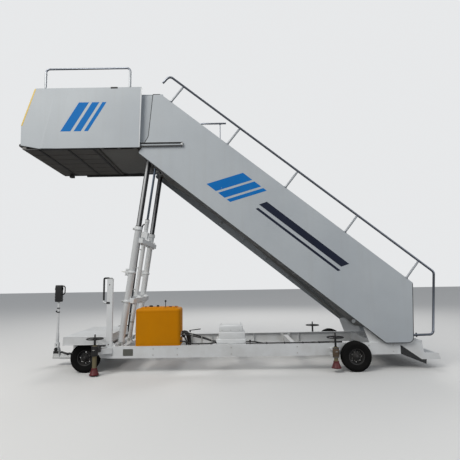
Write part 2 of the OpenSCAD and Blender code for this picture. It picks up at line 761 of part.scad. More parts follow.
module leg_sleeve_right() {
    leg_sleeve(RIGHT * leg_y);
}
module leg_beams() {
    color(white) leaned() {
        for (s = [700, 1740]) difference() {
            union() {
                block([leg_out_r - 8, -leg_y - 40, s], [leg_out_r + 62, leg_y + 40, s + 80]);
                block([0, -barrel_r - 14, s + 10], [leg_out_r, barrel_r + 14, s + 70]);
            }
            for (y = [-leg_y, leg_y]) translate([0, y, s - 1]) cylinder(r = leg_out_r, h = 82);
            translate([0, 0, s - 1]) cylinder(r = barrel_r, h = 82);
        }
    }
}
module lift_barrel() {
    color(white) leaned() {
        ring(0, barrel_r, barrel_r - 7, 60, 2180);
        ring(0, barrel_r + 4, rod_r + seat_gap, 2179, 2230);
        translate([0, 0, 40]) cylinder(r = barrel_r, h = 25);
        foot_eye(0);
    }
}
leg_inner_low = 1500;
module leg_tubes() {
    color(tube_dark) leaned() {
        for (y = [-leg_y, leg_y]) {
            translate([0, y, leg_inner_low]) cylinder(r = leg_in_r, h = leg_l - 50 - leg_inner_low);
            bar_y([0, leg_l], 42, y - 28, y + 28);
            translate([-32, y - 28, leg_l - 60]) cube([64, 56, 60]);
        }
        bar_y([0, leg_l], head_shaft_r, -leg_y - 72, leg_y + 72);
        both_sides() {
            bar_y([0, leg_l], 52, leg_y + 62, leg_y + 70);
            bar_y([0, leg_l], 52, leg_y - 70, leg_y - 62);
        }
    }
}
module lift_rod() {
    color(steel) leaned() {
        translate([0, 0, 1600]) cylinder(r = rod_r, h = leg_l - head_shaft_r - 1600 - 20);
        difference() {
            union() {
                bar_y([0, leg_l], 42, -28, 28);
                translate([-26, -28, leg_l - 60]) cube([52, 56, 40]);
            }
            bar_y([0, leg_l], head_shaft_r + pin_gap, -29, 29);
        }
    }
}

// Flight
platform_u = [along(platform_hinge), square(platform_hinge)];
lift_u = [along(lift_pin), square(lift_pin)];
beam_u = lift_u.x - 170;
beam_half = 45;
panel_pad = 60;
module stringer_outline() {
    polygon([for (r = [
        [-430, 150], [-330, 110], [-70, -55], [900, 0], [3900, 0],
        [beam_u - 60, -50], [beam_u + 60, -50], [beam_u + 60, 60],
        [platform_u.x + 55, platform_u.y - 20], [platform_u.x + 20, platform_u.y + 55],
        [platform_u.x - 45, platform_u.y + 40],
        [platform_u.x - 230, 300], [-430, 300]]) flight(r.x, r.y)]);
}
module stringer() {
    difference() {
        union() {
            slab(stair_half_w, stringer_out_y) stringer_outline();
            bar_y(hinge, hinge_pin_r + 30, lug_y, stringer_out_y);
            bar_y(platform_hinge, hinge_pin_r + 28, lug_y, stringer_out_y);
            for (u = [500, 1500, 2500, 3500, 4350])
                slab(stringer_out_y - 1, panel_out_y - panel_wall) polygon([
                    flight(u, 230), flight(u + panel_pad, 230),
                    flight(u + panel_pad, 290), flight(u, 290)]);
        }
        bar_y(hinge, hinge_pin_r + pin_gap, lug_y - 1, stringer_out_y + 1);
        bar_y(platform_hinge, hinge_pin_r + pin_gap, lug_y - 1, stringer_out_y + 1);
    }
}
module stringer_left() { color(white) on_side(LEFT) stringer(); }
module stringer_right() { color(white) on_side(RIGHT) stringer(); }
// The cross beam between the stringers with the lugs that the lift's shaft carries
module lift_beam() {
    color(white) {
        slab(-stair_half_w, stair_half_w) polygon([
            flight(beam_u - beam_half, -beam_half), flight(beam_u + beam_half, -beam_half),
            flight(beam_u + beam_half, beam_half), flight(beam_u - beam_half, beam_half)]);
        for (y = [-leg_y, 0, leg_y]) for (side = [LEFT, RIGHT])
            translate([0, y + side * 51, 0]) difference() {
                slab(-6, 6) {
                    translate(lift_pin) circle(r = 60);
                    polygon([
                        flight(beam_u, -beam_half), flight(beam_u + 30, -beam_half),
                        flight(lift_u.x, lift_u.y - 60), flight(lift_u.x, lift_u.y + 60),
                        flight(beam_u + 30, beam_half), flight(beam_u, beam_half)]);
                }
                bar_y(lift_pin, head_shaft_r + 16, -7, 7);
            }
    }
}

module stair_treads() {
    color(dark) for (k = [1:tread_count]) {
        nosing = [nose_x + k * tread_run, floor_z - k * tread_rise];
        slab(-stair_half_w, stair_half_w) polygon([
            nosing, nosing - [0, tread_edge], nosing - [6, tread_edge], nosing - [6, 6],
            nosing - [tread_depth - 6, 6], nosing - [tread_depth - 6, tread_edge],
            nosing - [tread_depth, tread_edge], nosing - [tread_depth, 0]]);
    }
}

// Outline of a side panel, counter-clockwise: [x, z, corner radius]
panel_rows = [
    [x_on(-panel_bottom_w, panel_low_z), panel_low_z, 60],
    [panel_rear_x - 52, panel_low_z, 90],
    [panel_rear_x, z_on(panel_top_w, panel_rear_x), 25],
    [x_on(panel_top_w, floor_z + 932), floor_z + 932, 40],
    [nose_x - 311, floor_z + 932, 15],
    [nose_x - 387, floor_z + 154, 120],
    [nose_x - 562, z_on(-panel_bottom_w, nose_x - 562), 30]
];
module flight_panel() {
    slab(panel_out_y - panel_wall, panel_out_y) polygon(rounded(panel_rows));
    slab(panel_in_y, panel_out_y) difference() {
        polygon(rounded(panel_rows));
        polygon(rounded(inset(panel_rows, panel_wall)));
    }
}
module flight_panel_left() { color(panel_grey) on_side(LEFT) flight_panel(); }
module flight_panel_right() { color(panel_grey) on_side(RIGHT) flight_panel(); }

// Handrail: posts along the top edge of the panel, then down behind it
handrail_y = panel_in_y + panel_depth / 2;
rail_w = panel_top_w + handrail_h;
first_post_u = along([-909, z_on(panel_top_w, -909)]);
post_pitch = 1262;
function handrail_point(u, w) = let (p = flight(u, w)) [p.x, handrail_y, p.y];
module handrail() {
    top = [-931, 5121];
    top_u = along(top);
    corner = [3500, z_on(rail_w, 3500)];
    low = [3411, 559];
    bent_tube([
        [-1053, 4992], flight(top_u, rail_w), corner, low,
        [panel_rear_x - 43, low.y - 6]], handrail_y, rail_tube_r, 70);
    for (u = [first_post_u : -post_pitch : along(corner)])
        bar(handrail_point(u, panel_top_w), handrail_point(u, rail_w), rail_tube_r * 0.75);
}
module handrail_left() { color(tube_dark) on_side(LEFT) handrail(); }
module handrail_right() { color(tube_dark) on_side(RIGHT) handrail(); }

// A lamp bar on a thin post that stands on the right panel's top edge
module stair_lamp() {
    post_x = -80;
    post_r = 9;
    bar_z = 4880;
    post_y = handrail_y - rail_tube_r - post_r - 0.5;
    post_u = along([post_x, z_on(panel_top_w, post_x)]);
    color(tube_dark) {
        slab(post_y - post_r, handrail_y) polygon([
            flight(post_u - 28, panel_top_w), flight(post_u + 28, panel_top_w),
            flight(post_u + 28, panel_top_w + 20), flight(post_u - 28, panel_top_w + 20)]);
        bar([post_x, post_y, z_on(panel_top_w + 5, post_x)], [post_x, post_y, bar_z], post_r);
        bar([post_x - 420, post_y, bar_z], [post_x + 130, post_y, bar_z], 2 * post_r);
    }
}

module level_links() {
    a = hinge + link_offset;
    b = platform_hinge + link_offset;
    lean = atan2(b.x - a.x, b.y - a.y);
    color(white) both_sides() difference() {
        union() {
            translate([a.x, link_y, a.y]) rotate([0, lean, 0])
                block([-22, 2, 18], [22, 2 * link_half_t - 2, norm(b - a) - 18]);
            for (p = [a, b]) bar_y(p, link_pin_r + 15, link_y, link_y + 2 * link_half_t);
        }
        for (p = [a, b]) bar_y(p, link_pin_r + pin_gap, link_y - 1, link_y + 2 * link_half_t + 1);
    }
}

// Platform
platform_front_x = -2150;
guide_rear_x = nose_x + 226;
guide_low_z = floor_z - 31;
guide_high_z = floor_z + 35;
module platform_frame() {
    color(dark) {
        block([platform_front_x, -guide_in_y + 47, floor_z - 5], [nose_x, guide_in_y - 47, floor_z + 1]);
        for (x = [platform_front_x, -1850, -1560])
            block([x, -guide_in_y - 1, floor_z - 38], [x + 50, guide_in_y + 1, floor_z - 4]);
        block([nose_x - 60, -cheek_y - 1, floor_z - 50], [nose_x - 10, cheek_y + 1, floor_z - 4]);
        block([platform_front_x, 78 - guide_in_y, floor_z - 44], [-1500, guide_in_y - 78, floor_z - 37]);
        both_sides() {
            difference() {
                block([platform_front_x, guide_in_y, guide_low_z],
                      [guide_rear_x, guide_in_y + guide_d, guide_high_z]);
                block([platform_front_x - 1, guide_in_y + 6, guide_low_z + 6],
                      [guide_rear_x - 6, guide_in_y + guide_d + 1, guide_high_z - 6]);
            }
            slab(cheek_y, cheek_y + cheek_t) polygon(rounded([
                [nose_x - 150, floor_z - 4, 0], [nose_x - 110, platform_hinge.y + link_offset.y - 40, 30],
                [nose_x - 20, platform_hinge.y + link_offset.y - 40, 30], [nose_x - 4, floor_z - 4, 0]]));
            bar_y(platform_hinge, hinge_pin_r, lug_y - 6, cheek_y + 1);
            bar_y(platform_hinge, hinge_pin_r + 12, lug_y - 14, lug_y - 6);
            bar_y(platform_hinge + link_offset, link_pin_r, cheek_y + cheek_t - 1,
                  link_y + 2 * link_half_t + 5);
        }
    }
}
screen_l = 420;
screen_h = 934;
screen_t = 18;
module platform_side() {
    y0 = guide_in_y - 65;
    x1 = nose_x - 140;
    block([x1 - screen_l, y0, floor_z + 1], [x1, y0 + screen_t, floor_z + screen_h]);
}
module platform_side_left() { color(panel_grey) on_side(LEFT) platform_side(); }
module platform_side_right() { color(panel_grey) on_side(RIGHT) platform_side(); }

// Cabin
roller_r = 26.7;
module cabin_side() {
    slab(cabin_in_y, cabin_out_y) polygon(rounded([
        [cabin_rear_x - 28, cabin_low_z, 0], [cabin_rear_x, cabin_top_z, 12],
        [cabin_front_x + 210, cabin_top_z, 40], [cabin_front_x, cabin_top_z - 670, 60],
        [cabin_front_x + 8, cabin_low_z + 65, 12], [cabin_front_x + 325, cabin_low_z, 60]]));
    for (x = [cabin_rear_x - 90, cabin_rear_x - 640]) {
        bar_y([x, guide_low_z + 6 + seat_gap + roller_r], roller_r, guide_in_y + 8, guide_in_y + 26);
        bar_y([x, guide_low_z + 6 + seat_gap + roller_r], 10, guide_in_y + 25, cabin_in_y + 1);
    }
}
module cabin_side_left() { color(panel_grey) on_side(LEFT) cabin_side(); }
module cabin_side_right() { color(panel_grey) on_side(RIGHT) cabin_side(); }
cabin_floor_front_x = cabin_front_x + 30;
cabin_floor_rear_x = platform_front_x + 45;
cabin_floor_z = floor_z + 10;
cabin_floor_t = 8;
module cabin_floor() {
    front = cabin_floor_front_x;
    low = cabin_floor_z;
    side_y = guide_in_y - 10;
    color(dark) {
        block([front + 1, -side_y, low], [cabin_floor_rear_x, side_y, low + cabin_floor_t]);
        both_sides() {
            block([front + 1, side_y - 6, low], [cabin_floor_rear_x, side_y, low + 36]);
            block([front + 1, side_y - 6, low + 30], [cabin_floor_rear_x, cabin_in_y, low + 36]);
        }
        block([front, -cabin_in_y, cabin_low_z], [front + 70, cabin_in_y, low + 36]);
        block([front, -cabin_in_y, cabin_low_z], [platform_front_x - 10, cabin_in_y, cabin_low_z + 6]);
        for (x = [-3150, -2800])
            block([x, -side_y, cabin_low_z + 5], [x + 40, side_y, low + 1]);
    }
}
// The floor's narrow rear part, which lies over the platform
module cabin_tongue() {
    half_w = guide_in_y - 80;
    color(dark) block([cabin_floor_rear_x, -half_w, cabin_floor_z],
                      [cabin_floor_rear_x + 605, half_w, cabin_floor_z + cabin_floor_t]);
}

module guard_rails() {
    y = cabin_out_y - guard_tube_r;
    top = cabin_top_z + guard_h;
    color(tube_dark) both_sides() bent_tube([
        [cabin_front_x + 392, cabin_top_z], [cabin_front_x + 392, top],
        [cabin_rear_x - 209, top], [cabin_rear_x - 209, cabin_top_z]], y, guard_tube_r, 60);
}
module front_bumper() {
    color(rubber) bar_y([cabin_floor_front_x - bumper_r, cabin_low_z + 70], bumper_r,
                        1 - cabin_in_y, cabin_in_y - 1);
}
module cabin_lamp() {
    color(dark) block([-3275, 700, cabin_low_z - 95], [-3185, 790, cabin_low_z]);
}

chassis_frame();
front_deck();
tail_steps();
flight_brackets();
front_axle();
rear_axle();
jack_sleeves();
front_post();
power_unit();
power_block();
valve_box();
rim_front_left();
rim_front_right();
rim_rear_left();
rim_rear_right();
tyre_front_left();
tyre_front_right();
tyre_rear_left();
tyre_rear_right();
knuckle_left();
knuckle_right();
tie_rod();
steering_yoke();
tow_bar();
jack_front_left();
jack_front_right();
jack_rear_left();
jack_rear_right();
leg_sleeve_left();
leg_sleeve_right();
leg_beams();
lift_barrel();
leg_tubes();
lift_rod();
stringer_left();
stringer_right();
lift_beam();
stair_treads();
flight_panel_left();
flight_panel_right();
handrail_left();
handrail_right();
stair_lamp();
level_links();
platform_frame();
platform_side_left();
platform_side_right();
cabin_side_left();
cabin_side_right();
cabin_floor();
cabin_tongue();
guard_rails();
front_bumper();
cabin_lamp();
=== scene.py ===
# %% [markdown]
# # Boarding stairs for aircraft
# The real thing is a trailer of painted steel: a frame on four wheels, a
# flight of stairs that a telescopic lift raises, a platform that stays level
# and a cabin that slides out to the aircraft's door. The solids come from
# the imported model, and this script gives them their finish and detail.

import json
import math
from itertools import product

import bmesh
import bpy
from mathutils import Matrix, Vector


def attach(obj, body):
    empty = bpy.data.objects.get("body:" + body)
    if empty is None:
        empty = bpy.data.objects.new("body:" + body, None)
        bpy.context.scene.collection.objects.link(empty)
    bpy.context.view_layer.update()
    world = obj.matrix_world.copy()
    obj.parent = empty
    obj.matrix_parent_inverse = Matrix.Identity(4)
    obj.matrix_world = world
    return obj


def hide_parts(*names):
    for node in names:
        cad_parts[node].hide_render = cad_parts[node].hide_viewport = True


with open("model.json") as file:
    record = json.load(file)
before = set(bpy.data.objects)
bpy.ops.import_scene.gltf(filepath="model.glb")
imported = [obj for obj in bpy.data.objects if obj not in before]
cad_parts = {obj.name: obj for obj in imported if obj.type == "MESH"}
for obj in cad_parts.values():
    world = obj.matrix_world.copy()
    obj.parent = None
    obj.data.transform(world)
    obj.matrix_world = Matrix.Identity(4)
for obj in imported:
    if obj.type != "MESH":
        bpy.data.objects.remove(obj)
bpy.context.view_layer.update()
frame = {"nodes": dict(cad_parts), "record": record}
nodes = frame["nodes"]

# %% [markdown]
# ## Camera
# The photograph was taken from near the ground, seven and a half metres from
# the middle of the machine. Its lens, height and tilt were worked out from
# the picture's own level lines. The part's width matters: whatever stands
# nearer than the middle looks larger, so a wrong distance would show at once.

# %% Set the camera
FRAME_PX = 460
LENS_PX = 405.0
SENSOR_MM = 36.0
FAR_LIMIT = 200
CAMERA_AT = Vector((0.10, -7.65, 1.48))
PITCH = math.radians(7.18)
ROLL = math.asin(0.0157)

scene = bpy.context.scene


def into_scene(name, data):
    """An object in the scene, made from mesh, lamp or camera data."""
    made = bpy.data.objects.new(name, data)
    scene.collection.objects.link(made)
    return made


camera = bpy.data.cameras.new("camera")
camera.sensor_width = SENSOR_MM
camera.sensor_fit = "HORIZONTAL"
camera.lens = SENSOR_MM * LENS_PX / FRAME_PX
camera.clip_end = FAR_LIMIT
camera_object = into_scene("camera", camera)
turn = Matrix.Rotation(math.pi / 2 + PITCH, 3, "X") @ Matrix.Rotation(-ROLL, 3, "Z")
camera_object.matrix_world = Matrix.Translation(CAMERA_AT) @ turn.to_4x4()
bpy.context.scene.camera = camera_object
print(f"lens {camera.lens:.1f} mm")

# %% [markdown]
# ## Node helpers
# The studio and every finish are built from shader nodes. One helper adds a
# node with its settings and inputs, where an input is a number, a colour or
# the socket of another node, and a few more name the nodes that come often.


# %% Nodes by name
def wire(tree, node, inputs):
    """Sets each named input to a value, or links a socket to it."""
    for name, value in inputs.items():
        if isinstance(value, bpy.types.NodeSocket):
            tree.links.new(value, node.inputs[name])
        else:
            node.inputs[name].default_value = value


def add_node(tree, kind, inputs=None, **settings):
    """A shader node with its settings and inputs."""
    made = tree.nodes.new("ShaderNode" + kind)
    for name, value in settings.items():
        setattr(made, name, value)
    wire(tree, made, inputs or {})
    return made


def object_space(tree, scale=(1, 1, 1)):
    """Object coordinates, stretched by a Mapping node."""
    place = add_node(tree, "TexCoord").outputs["Object"]
    return add_node(tree, "Mapping", {"Scale": scale, "Vector": place}).outputs["Vector"]


def noise(tree, vector, scale, detail, roughness=0.55):
    """The value of a noise texture."""
    inputs = {"Vector": vector, "Scale": scale, "Detail": detail, "Roughness": roughness}
    return add_node(tree, "TexNoise", inputs).outputs["Fac"]


def remap(tree, value, low, high, to_low=0.0, to_high=1.0, smooth=True):
    """Stretches low..high of a value to to_low..to_high, clamped."""
    inputs = {"Value": value, "From Min": low, "From Max": high, "To Min": to_low, "To Max": to_high}
    kind = "SMOOTHSTEP" if smooth else "LINEAR"
    return add_node(tree, "MapRange", inputs, interpolation_type=kind).outputs["Result"]


def math_node(tree, operation, first, second, clamp=False):
    """A sum, difference or product of two values."""
    return add_node(tree, "Math", {0: first, 1: second}, operation=operation, use_clamp=clamp).outputs[0]


def mix_colour(tree, factor, first, second):
    """Blends two colours by a factor."""
    first, second = [(*c, 1) if isinstance(c, tuple) else c for c in (first, second)]
    return add_node(tree, "Mix", {"Factor": factor, 6: first, 7: second}, data_type="RGBA").outputs[2]


def bump(tree, height, strength, distance):
    """A normal that a height bends."""
    inputs = {"Height": height, "Strength": strength, "Distance": distance}
    return add_node(tree, "Bump", inputs).outputs["Normal"]


def start_material(name):
    """A material with its tree and its Principled shader."""
    material = bpy.data.materials.new(name)
    material.use_nodes = True
    return material, material.node_tree, material.node_tree.nodes["Principled BSDF"]


# %% [markdown]
# ## Floor, sky and lamps
# A pale floor and a pale surround keep the eye on the object. One broad lamp
# from the upper left front does the shaping, a second fills the shade on the
# right, and the surround lifts what both leave dark, as an overcast sky does.
# The floor looks pale to the camera but throws back only as much light as
# asphalt would, so the underside stays as dark as it is outdoors.

# %% Build the studio
SKY_SEEN = (0.80, 0.81, 0.82, 1)
SKY_LIGHT = (0.86, 0.89, 0.93, 1)
FLOOR_SEEN = (0.80, 0.80, 0.79)
FLOOR_BOUNCE = (0.16, 0.155, 0.15)
FLOOR_HALF = 60.0

scene.view_settings.view_transform = "Standard"
bm = bmesh.new()
bmesh.ops.create_grid(bm, x_segments=1, y_segments=1, size=FLOOR_HALF)
floor_data = bpy.data.meshes.new("studio_floor")
bm.to_mesh(floor_data)
bm.free()
floor_object = into_scene("studio_floor", floor_data)

floor_paint, tree, shader = start_material("studio floor")
seen = add_node(tree, "LightPath").outputs["Is Camera Ray"]
wire(tree, shader, {"Roughness": 0.9, "Base Color": mix_colour(tree, seen, FLOOR_BOUNCE, FLOOR_SEEN)})
floor_data.materials.append(floor_paint)

world = bpy.data.worlds.new("studio")
scene.world = world
world.use_nodes = True
tree = world.node_tree
sky_light = tree.nodes["Background"]
wire(tree, sky_light, {"Color": SKY_LIGHT, "Strength": 0.42})
sky_seen = add_node(tree, "Background", {"Color": SKY_SEEN, "Strength": 1.0})
seen = add_node(tree, "LightPath").outputs["Is Camera Ray"]
sky = add_node(tree, "MixShader", {0: seen, 1: sky_light.outputs[0], 2: sky_seen.outputs[0]})
wire(tree, tree.nodes["World Output"], {0: sky.outputs[0]})

for name, at, aim, size, watts, tint in (
    ("key", (-7, -9, 11), (0, 0, 1.5), 7, 1050, (1.0, 0.975, 0.93)),
    ("fill", (9, -8, 5), (0, 0, 2), 8, 250, (0.97, 0.98, 1.0)),
    ("back", (2, 10, 10), (0, 0, 2), 7, 500, (1.0, 0.98, 0.96)),
):
    lamp = bpy.data.lights.new(name, "AREA")
    lamp.size, lamp.energy, lamp.color = size, watts, tint
    lamp_object = into_scene(name, lamp)
    lamp_object.location = at
    lamp_object.rotation_euler = (Vector(aim) - Vector(at)).to_track_quat("-Z", "Y").to_euler()

# %% [markdown]
# ## Shared effects
# Paint that lives outdoors is never one flat colour. Dust gathers low down
# and on ledges, rain draws it into streaks, and a sprayed coat has a fine
# ripple. Each effect is made once, as a node group with named sockets, and
# every finish below mixes them in its own measure.

# %% Helpers for node groups
FLOAT, VECTOR = "NodeSocketFloat", "NodeSocketVector"


def new_group(name, inputs, outputs):
    """A shader node group from {input: default} and {output: kind}."""
    group = bpy.data.node_groups.new(name, "ShaderNodeTree")
    for socket, default in inputs.items():
        made = group.interface.new_socket(name=socket, in_out="INPUT", socket_type=FLOAT)
        made.default_value = default
    for socket, kind in outputs.items():
        group.interface.new_socket(name=socket, in_out="OUTPUT", socket_type=kind)
    return group, group.nodes.new("NodeGroupInput").outputs, group.nodes.new("NodeGroupOutput")


def mask_group(name, output, defaults, stretch, detail, roughness, low, high):
    """A group whose mask is stretched noise between two levels, times Amount."""
    group, given, result = new_group(name, defaults, {output: FLOAT})
    grain = noise(group, object_space(group, stretch), given["Scale"], detail, roughness)
    mask = math_node(group, "MULTIPLY", remap(group, grain, low, high), given["Amount"], clamp=True)
    wire(group, result, {output: mask})
    return group


# %% Road dust, rain streaks, scuffs, orange peel and brushed grain
dust_group, given, result = new_group(
    "Road Dust", {"Height": 1.2, "Patch Scale": 3.0, "Amount": 0.5}, {"Dust": FLOAT}
)
place = object_space(dust_group)
height = add_node(dust_group, "SeparateXYZ", {0: place}).outputs["Z"]
low_down = remap(dust_group, height, given["Height"], 0.0, 0.15, 1.0)
patches = remap(dust_group, noise(dust_group, place, given["Patch Scale"], 6.0), 0.35, 0.7)
both = math_node(dust_group, "MULTIPLY", low_down, patches)
wire(dust_group, result, {"Dust": math_node(dust_group, "MULTIPLY", both, given["Amount"], clamp=True)})

streak_group = mask_group(
    "Rain Streaks", "Streak", {"Scale": 1.0, "Amount": 0.3}, (9, 9, 0.55), 5.0, 0.55, 0.48, 0.78
)
scuff_group = mask_group("Scuffs", "Scuff", {"Scale": 14.0, "Amount": 0.3}, (1, 1, 2.4), 9.0, 0.7, 0.60, 0.72)

peel_group, given, result = new_group("Orange Peel", {"Scale": 90.0, "Strength": 0.08}, {"Normal": VECTOR})
ripple = noise(peel_group, object_space(peel_group), given["Scale"], 2.0)
wire(peel_group, result, {"Normal": bump(peel_group, ripple, given["Strength"], 0.002)})

brush_group, given, result = new_group(
    "Brushed Grain",
    {"Scale": 60.0, "Strength": 0.2, "Low": 0.25, "High": 0.45},
    {"Roughness": FLOAT, "Normal": VECTOR},
)
grain = noise(brush_group, object_space(brush_group, (1, 8, 8)), given["Scale"], 3.0)
wire(brush_group, result, {
    "Roughness": remap(brush_group, grain, 0.3, 0.7, given["Low"], given["High"], smooth=False),
    "Normal": bump(brush_group, grain, given["Strength"], 0.0005),
})
print("effects:", ", ".join(group.name for group in bpy.data.node_groups))

# %% [markdown]
# ## Paints
# Four sprayed coats cover nearly all of the machine: white on the frame,
# light grey on the panels, orange yellow on the power unit and charcoal
# underneath. They share one recipe: a coat with a fine ripple, dust that
# fades upwards, streaks where rain runs, and scuffs that dull the gloss.


# %% Recipe for a sprayed coat
def use_group(tree, group, **values):
    """Places a group and sets its inputs; spaces in names are underscores."""
    inputs = {key.replace("_", " "): value for key, value in values.items()}
    return add_node(tree, "Group", inputs, node_tree=group).outputs


def sprayed(name, colour, shade, dust, rough=0.38, coat=0.0, dirt=0.3, streaks=0.1, scuffs=0.25, shine=0.5):
    """Sprayed paint: colour drifts to shade, dust lies over it."""
    material, tree, shader = start_material(name)
    drift = remap(tree, noise(tree, object_space(tree), 0.9, 3.0), 0.3, 0.7)
    skin = mix_colour(tree, drift, colour, shade)
    streak = use_group(tree, streak_group, Amount=streaks)[0]
    road = use_group(tree, dust_group, Amount=dirt)[0]
    scuff = use_group(tree, scuff_group, Amount=scuffs)[0]
    for mask in (streak, road, scuff):
        skin = mix_colour(tree, mask, skin, dust)
    dull = math_node(tree, "ADD", road, scuff)
    wire(tree, shader, {
        "Base Color": skin,
        "Roughness": remap(tree, dull, 0.0, 1.0, rough, 0.8, smooth=False),
        "Normal": use_group(tree, peel_group, Strength=0.06)[0],
        "Coat Weight": coat,
        "Coat Roughness": 0.2,
        "Specular IOR Level": shine,
    })
    return material


# %% Mix the coats
ROAD_DUST = (0.36, 0.33, 0.28)
GLOSS = 0.15
white_paint = sprayed("white paint", (0.82, 0.84, 0.85), (0.75, 0.77, 0.78), (0.44, 0.42, 0.38), coat=GLOSS)
panel_paint = sprayed("panel paint", (0.52, 0.56, 0.59), (0.47, 0.51, 0.545), (0.40, 0.40, 0.39),
                      rough=0.52, dirt=0.25, streaks=0.14, scuffs=0.10)
blue_film = sprayed("blue film", (0.004, 0.165, 0.52), (0.006, 0.185, 0.56), (0.15, 0.24, 0.36),
                    rough=0.55, dirt=0.1, streaks=0.05, scuffs=0.05, shine=0.12)
navy_film = sprayed("navy film", (0.012, 0.016, 0.035), (0.016, 0.022, 0.045), (0.12, 0.12, 0.12),
                    rough=0.55, dirt=0.1, streaks=0.05, shine=0.15)
yellow_paint = sprayed("yellow paint", (0.67, 0.255, 0.002), (0.59, 0.215, 0.002), (0.36, 0.17, 0.015),
                       rough=0.5, dirt=0.2, scuffs=0.08, shine=0.08)
black_paint = sprayed("black paint", (0.011, 0.011, 0.012), (0.017, 0.017, 0.018), (0.06, 0.058, 0.055),
                      rough=0.45, streaks=0.05, scuffs=0.1)
dark_paint = sprayed("dark paint", (0.035, 0.037, 0.04), (0.05, 0.05, 0.052), ROAD_DUST,
                     rough=0.5, coat=GLOSS, dirt=0.35)
plate_grey = sprayed("blank plate", (0.11, 0.115, 0.10), (0.15, 0.15, 0.13), ROAD_DUST,
                     rough=0.45, coat=GLOSS)
rusty_paint = sprayed("rusty sleeve", (0.150, 0.088, 0.042), (0.090, 0.052, 0.030), (0.15, 0.13, 0.10),
                      rough=0.6, dirt=0.35, streaks=0.3)
red_paint = sprayed("red paint", (0.13, 0.005, 0.009), (0.11, 0.006, 0.010), (0.10, 0.05, 0.045), rough=0.45)
underside_grey = sprayed("underside grey", (0.150, 0.146, 0.140), (0.190, 0.184, 0.174), (0.20, 0.19, 0.17),
                         rough=0.6)
# White steel given a grey as painted shade, with grime and rain streaks over it.
grime_and_shade_grey = sprayed("grime and painted shade grey", (0.23, 0.235, 0.235), (0.29, 0.29, 0.28), (0.18, 0.165, 0.14),
                     rough=0.55, dirt=0.4, streaks=0.4)
ochre_paint = sprayed("ochre paint", (0.20, 0.17, 0.055), (0.15, 0.115, 0.045), (0.22, 0.20, 0.15),
                      rough=0.5, dirt=0.5, streaks=0.25)
edge_yellow = sprayed("edge yellow", (0.72, 0.50, 0.05), (0.65, 0.44, 0.05), (0.35, 0.33, 0.25),
                      rough=0.4, coat=GLOSS, dirt=0.1, streaks=0.25)
dark_tube = sprayed("dark tube paint", (0.16, 0.19, 0.23), (0.12, 0.145, 0.18), ROAD_DUST,
                    rough=0.28, coat=0.4, dirt=0.2, streaks=0.08)
rim_paint = sprayed("rim paint", (0.014, 0.015, 0.016), (0.022, 0.022, 0.023), (0.12, 0.11, 0.10),
                    rough=0.5, streaks=0.05)

# %% [markdown]
# ## Bare metal and rubber
# Handrails are brushed stainless steel, treads are ribbed aluminium, the
# lift's rod is chromed and its bolts are zinc plated. Metal is told by its
# reflections, so its colour hardly changes and its roughness does the work.


# %% Recipes for metal and rubber
def brushed(name, colour, low, high, strength=0.2, scale=60.0, dirt=0.0):
    """Bare metal with a grain across its run."""
    material, tree, shader = start_material(name)
    grain = use_group(tree, brush_group, Scale=scale, Strength=strength, Low=low, High=high)
    road = use_group(tree, dust_group, Amount=dirt)[0]
    wire(tree, shader, {
        "Base Color": mix_colour(tree, road, colour, ROAD_DUST),
        "Metallic": remap(tree, road, 0.0, 1.0, 1.0, 0.2, smooth=False),
        "Roughness": grain["Roughness"],
        "Normal": grain["Normal"],
    })
    return material


def rubbery(name, colour, dusted, rough, scale, shine=0.5):
    """Rubber: near black, greyed by dust, with a fine pitted skin."""
    material, tree, shader = start_material(name)
    mottle = remap(tree, noise(tree, object_space(tree), scale, 8.0), 0.35, 0.7)
    skin = mix_colour(tree, mottle, colour, tuple(c * 1.8 for c in colour))
    road = use_group(tree, dust_group, Amount=0.3, Patch_Scale=7.0)[0]
    wire(tree, shader, {
        "Base Color": mix_colour(tree, road, skin, dusted),
        "Roughness": remap(tree, mottle, 0.0, 1.0, rough, rough + 0.15, smooth=False),
        "Specular IOR Level": shine,
        "Normal": use_group(tree, peel_group, Scale=260.0, Strength=0.15)[0],
    })
    return material


# %% Make the metals and rubbers
stainless = brushed("stainless tube", (0.23, 0.25, 0.29), 0.24, 0.40)
rail_sleeve = brushed("rail sleeve", (0.40, 0.42, 0.44), 0.38, 0.55)
tread_metal = brushed("tread aluminium", (0.46, 0.48, 0.50), 0.38, 0.6, strength=0.4, scale=90.0)
chrome_rod = brushed("chromed rod", (0.36, 0.43, 0.52), 0.08, 0.16, strength=0.05)
zinc = brushed("zinc bolts", (0.60, 0.60, 0.57), 0.3, 0.5, scale=150.0, dirt=0.2)
# Plated nuts given a dark grey as painted shade, with road dust over it.
shaded_nut_metal = brushed("wheel nuts in painted shade", (0.20, 0.20, 0.195), 0.4, 0.6, scale=150.0, dirt=0.3)
tyre_rubber = rubbery("tyre rubber", (0.004, 0.004, 0.004), (0.018, 0.017, 0.016), 0.85, 40.0, shine=0.2)
hose_rubber = rubbery("hose rubber", (0.012, 0.012, 0.013), (0.06, 0.058, 0.055), 0.5, 90.0)
mat_rubber = rubbery("mat rubber", (0.025, 0.026, 0.028), (0.09, 0.088, 0.085), 0.7, 60.0)
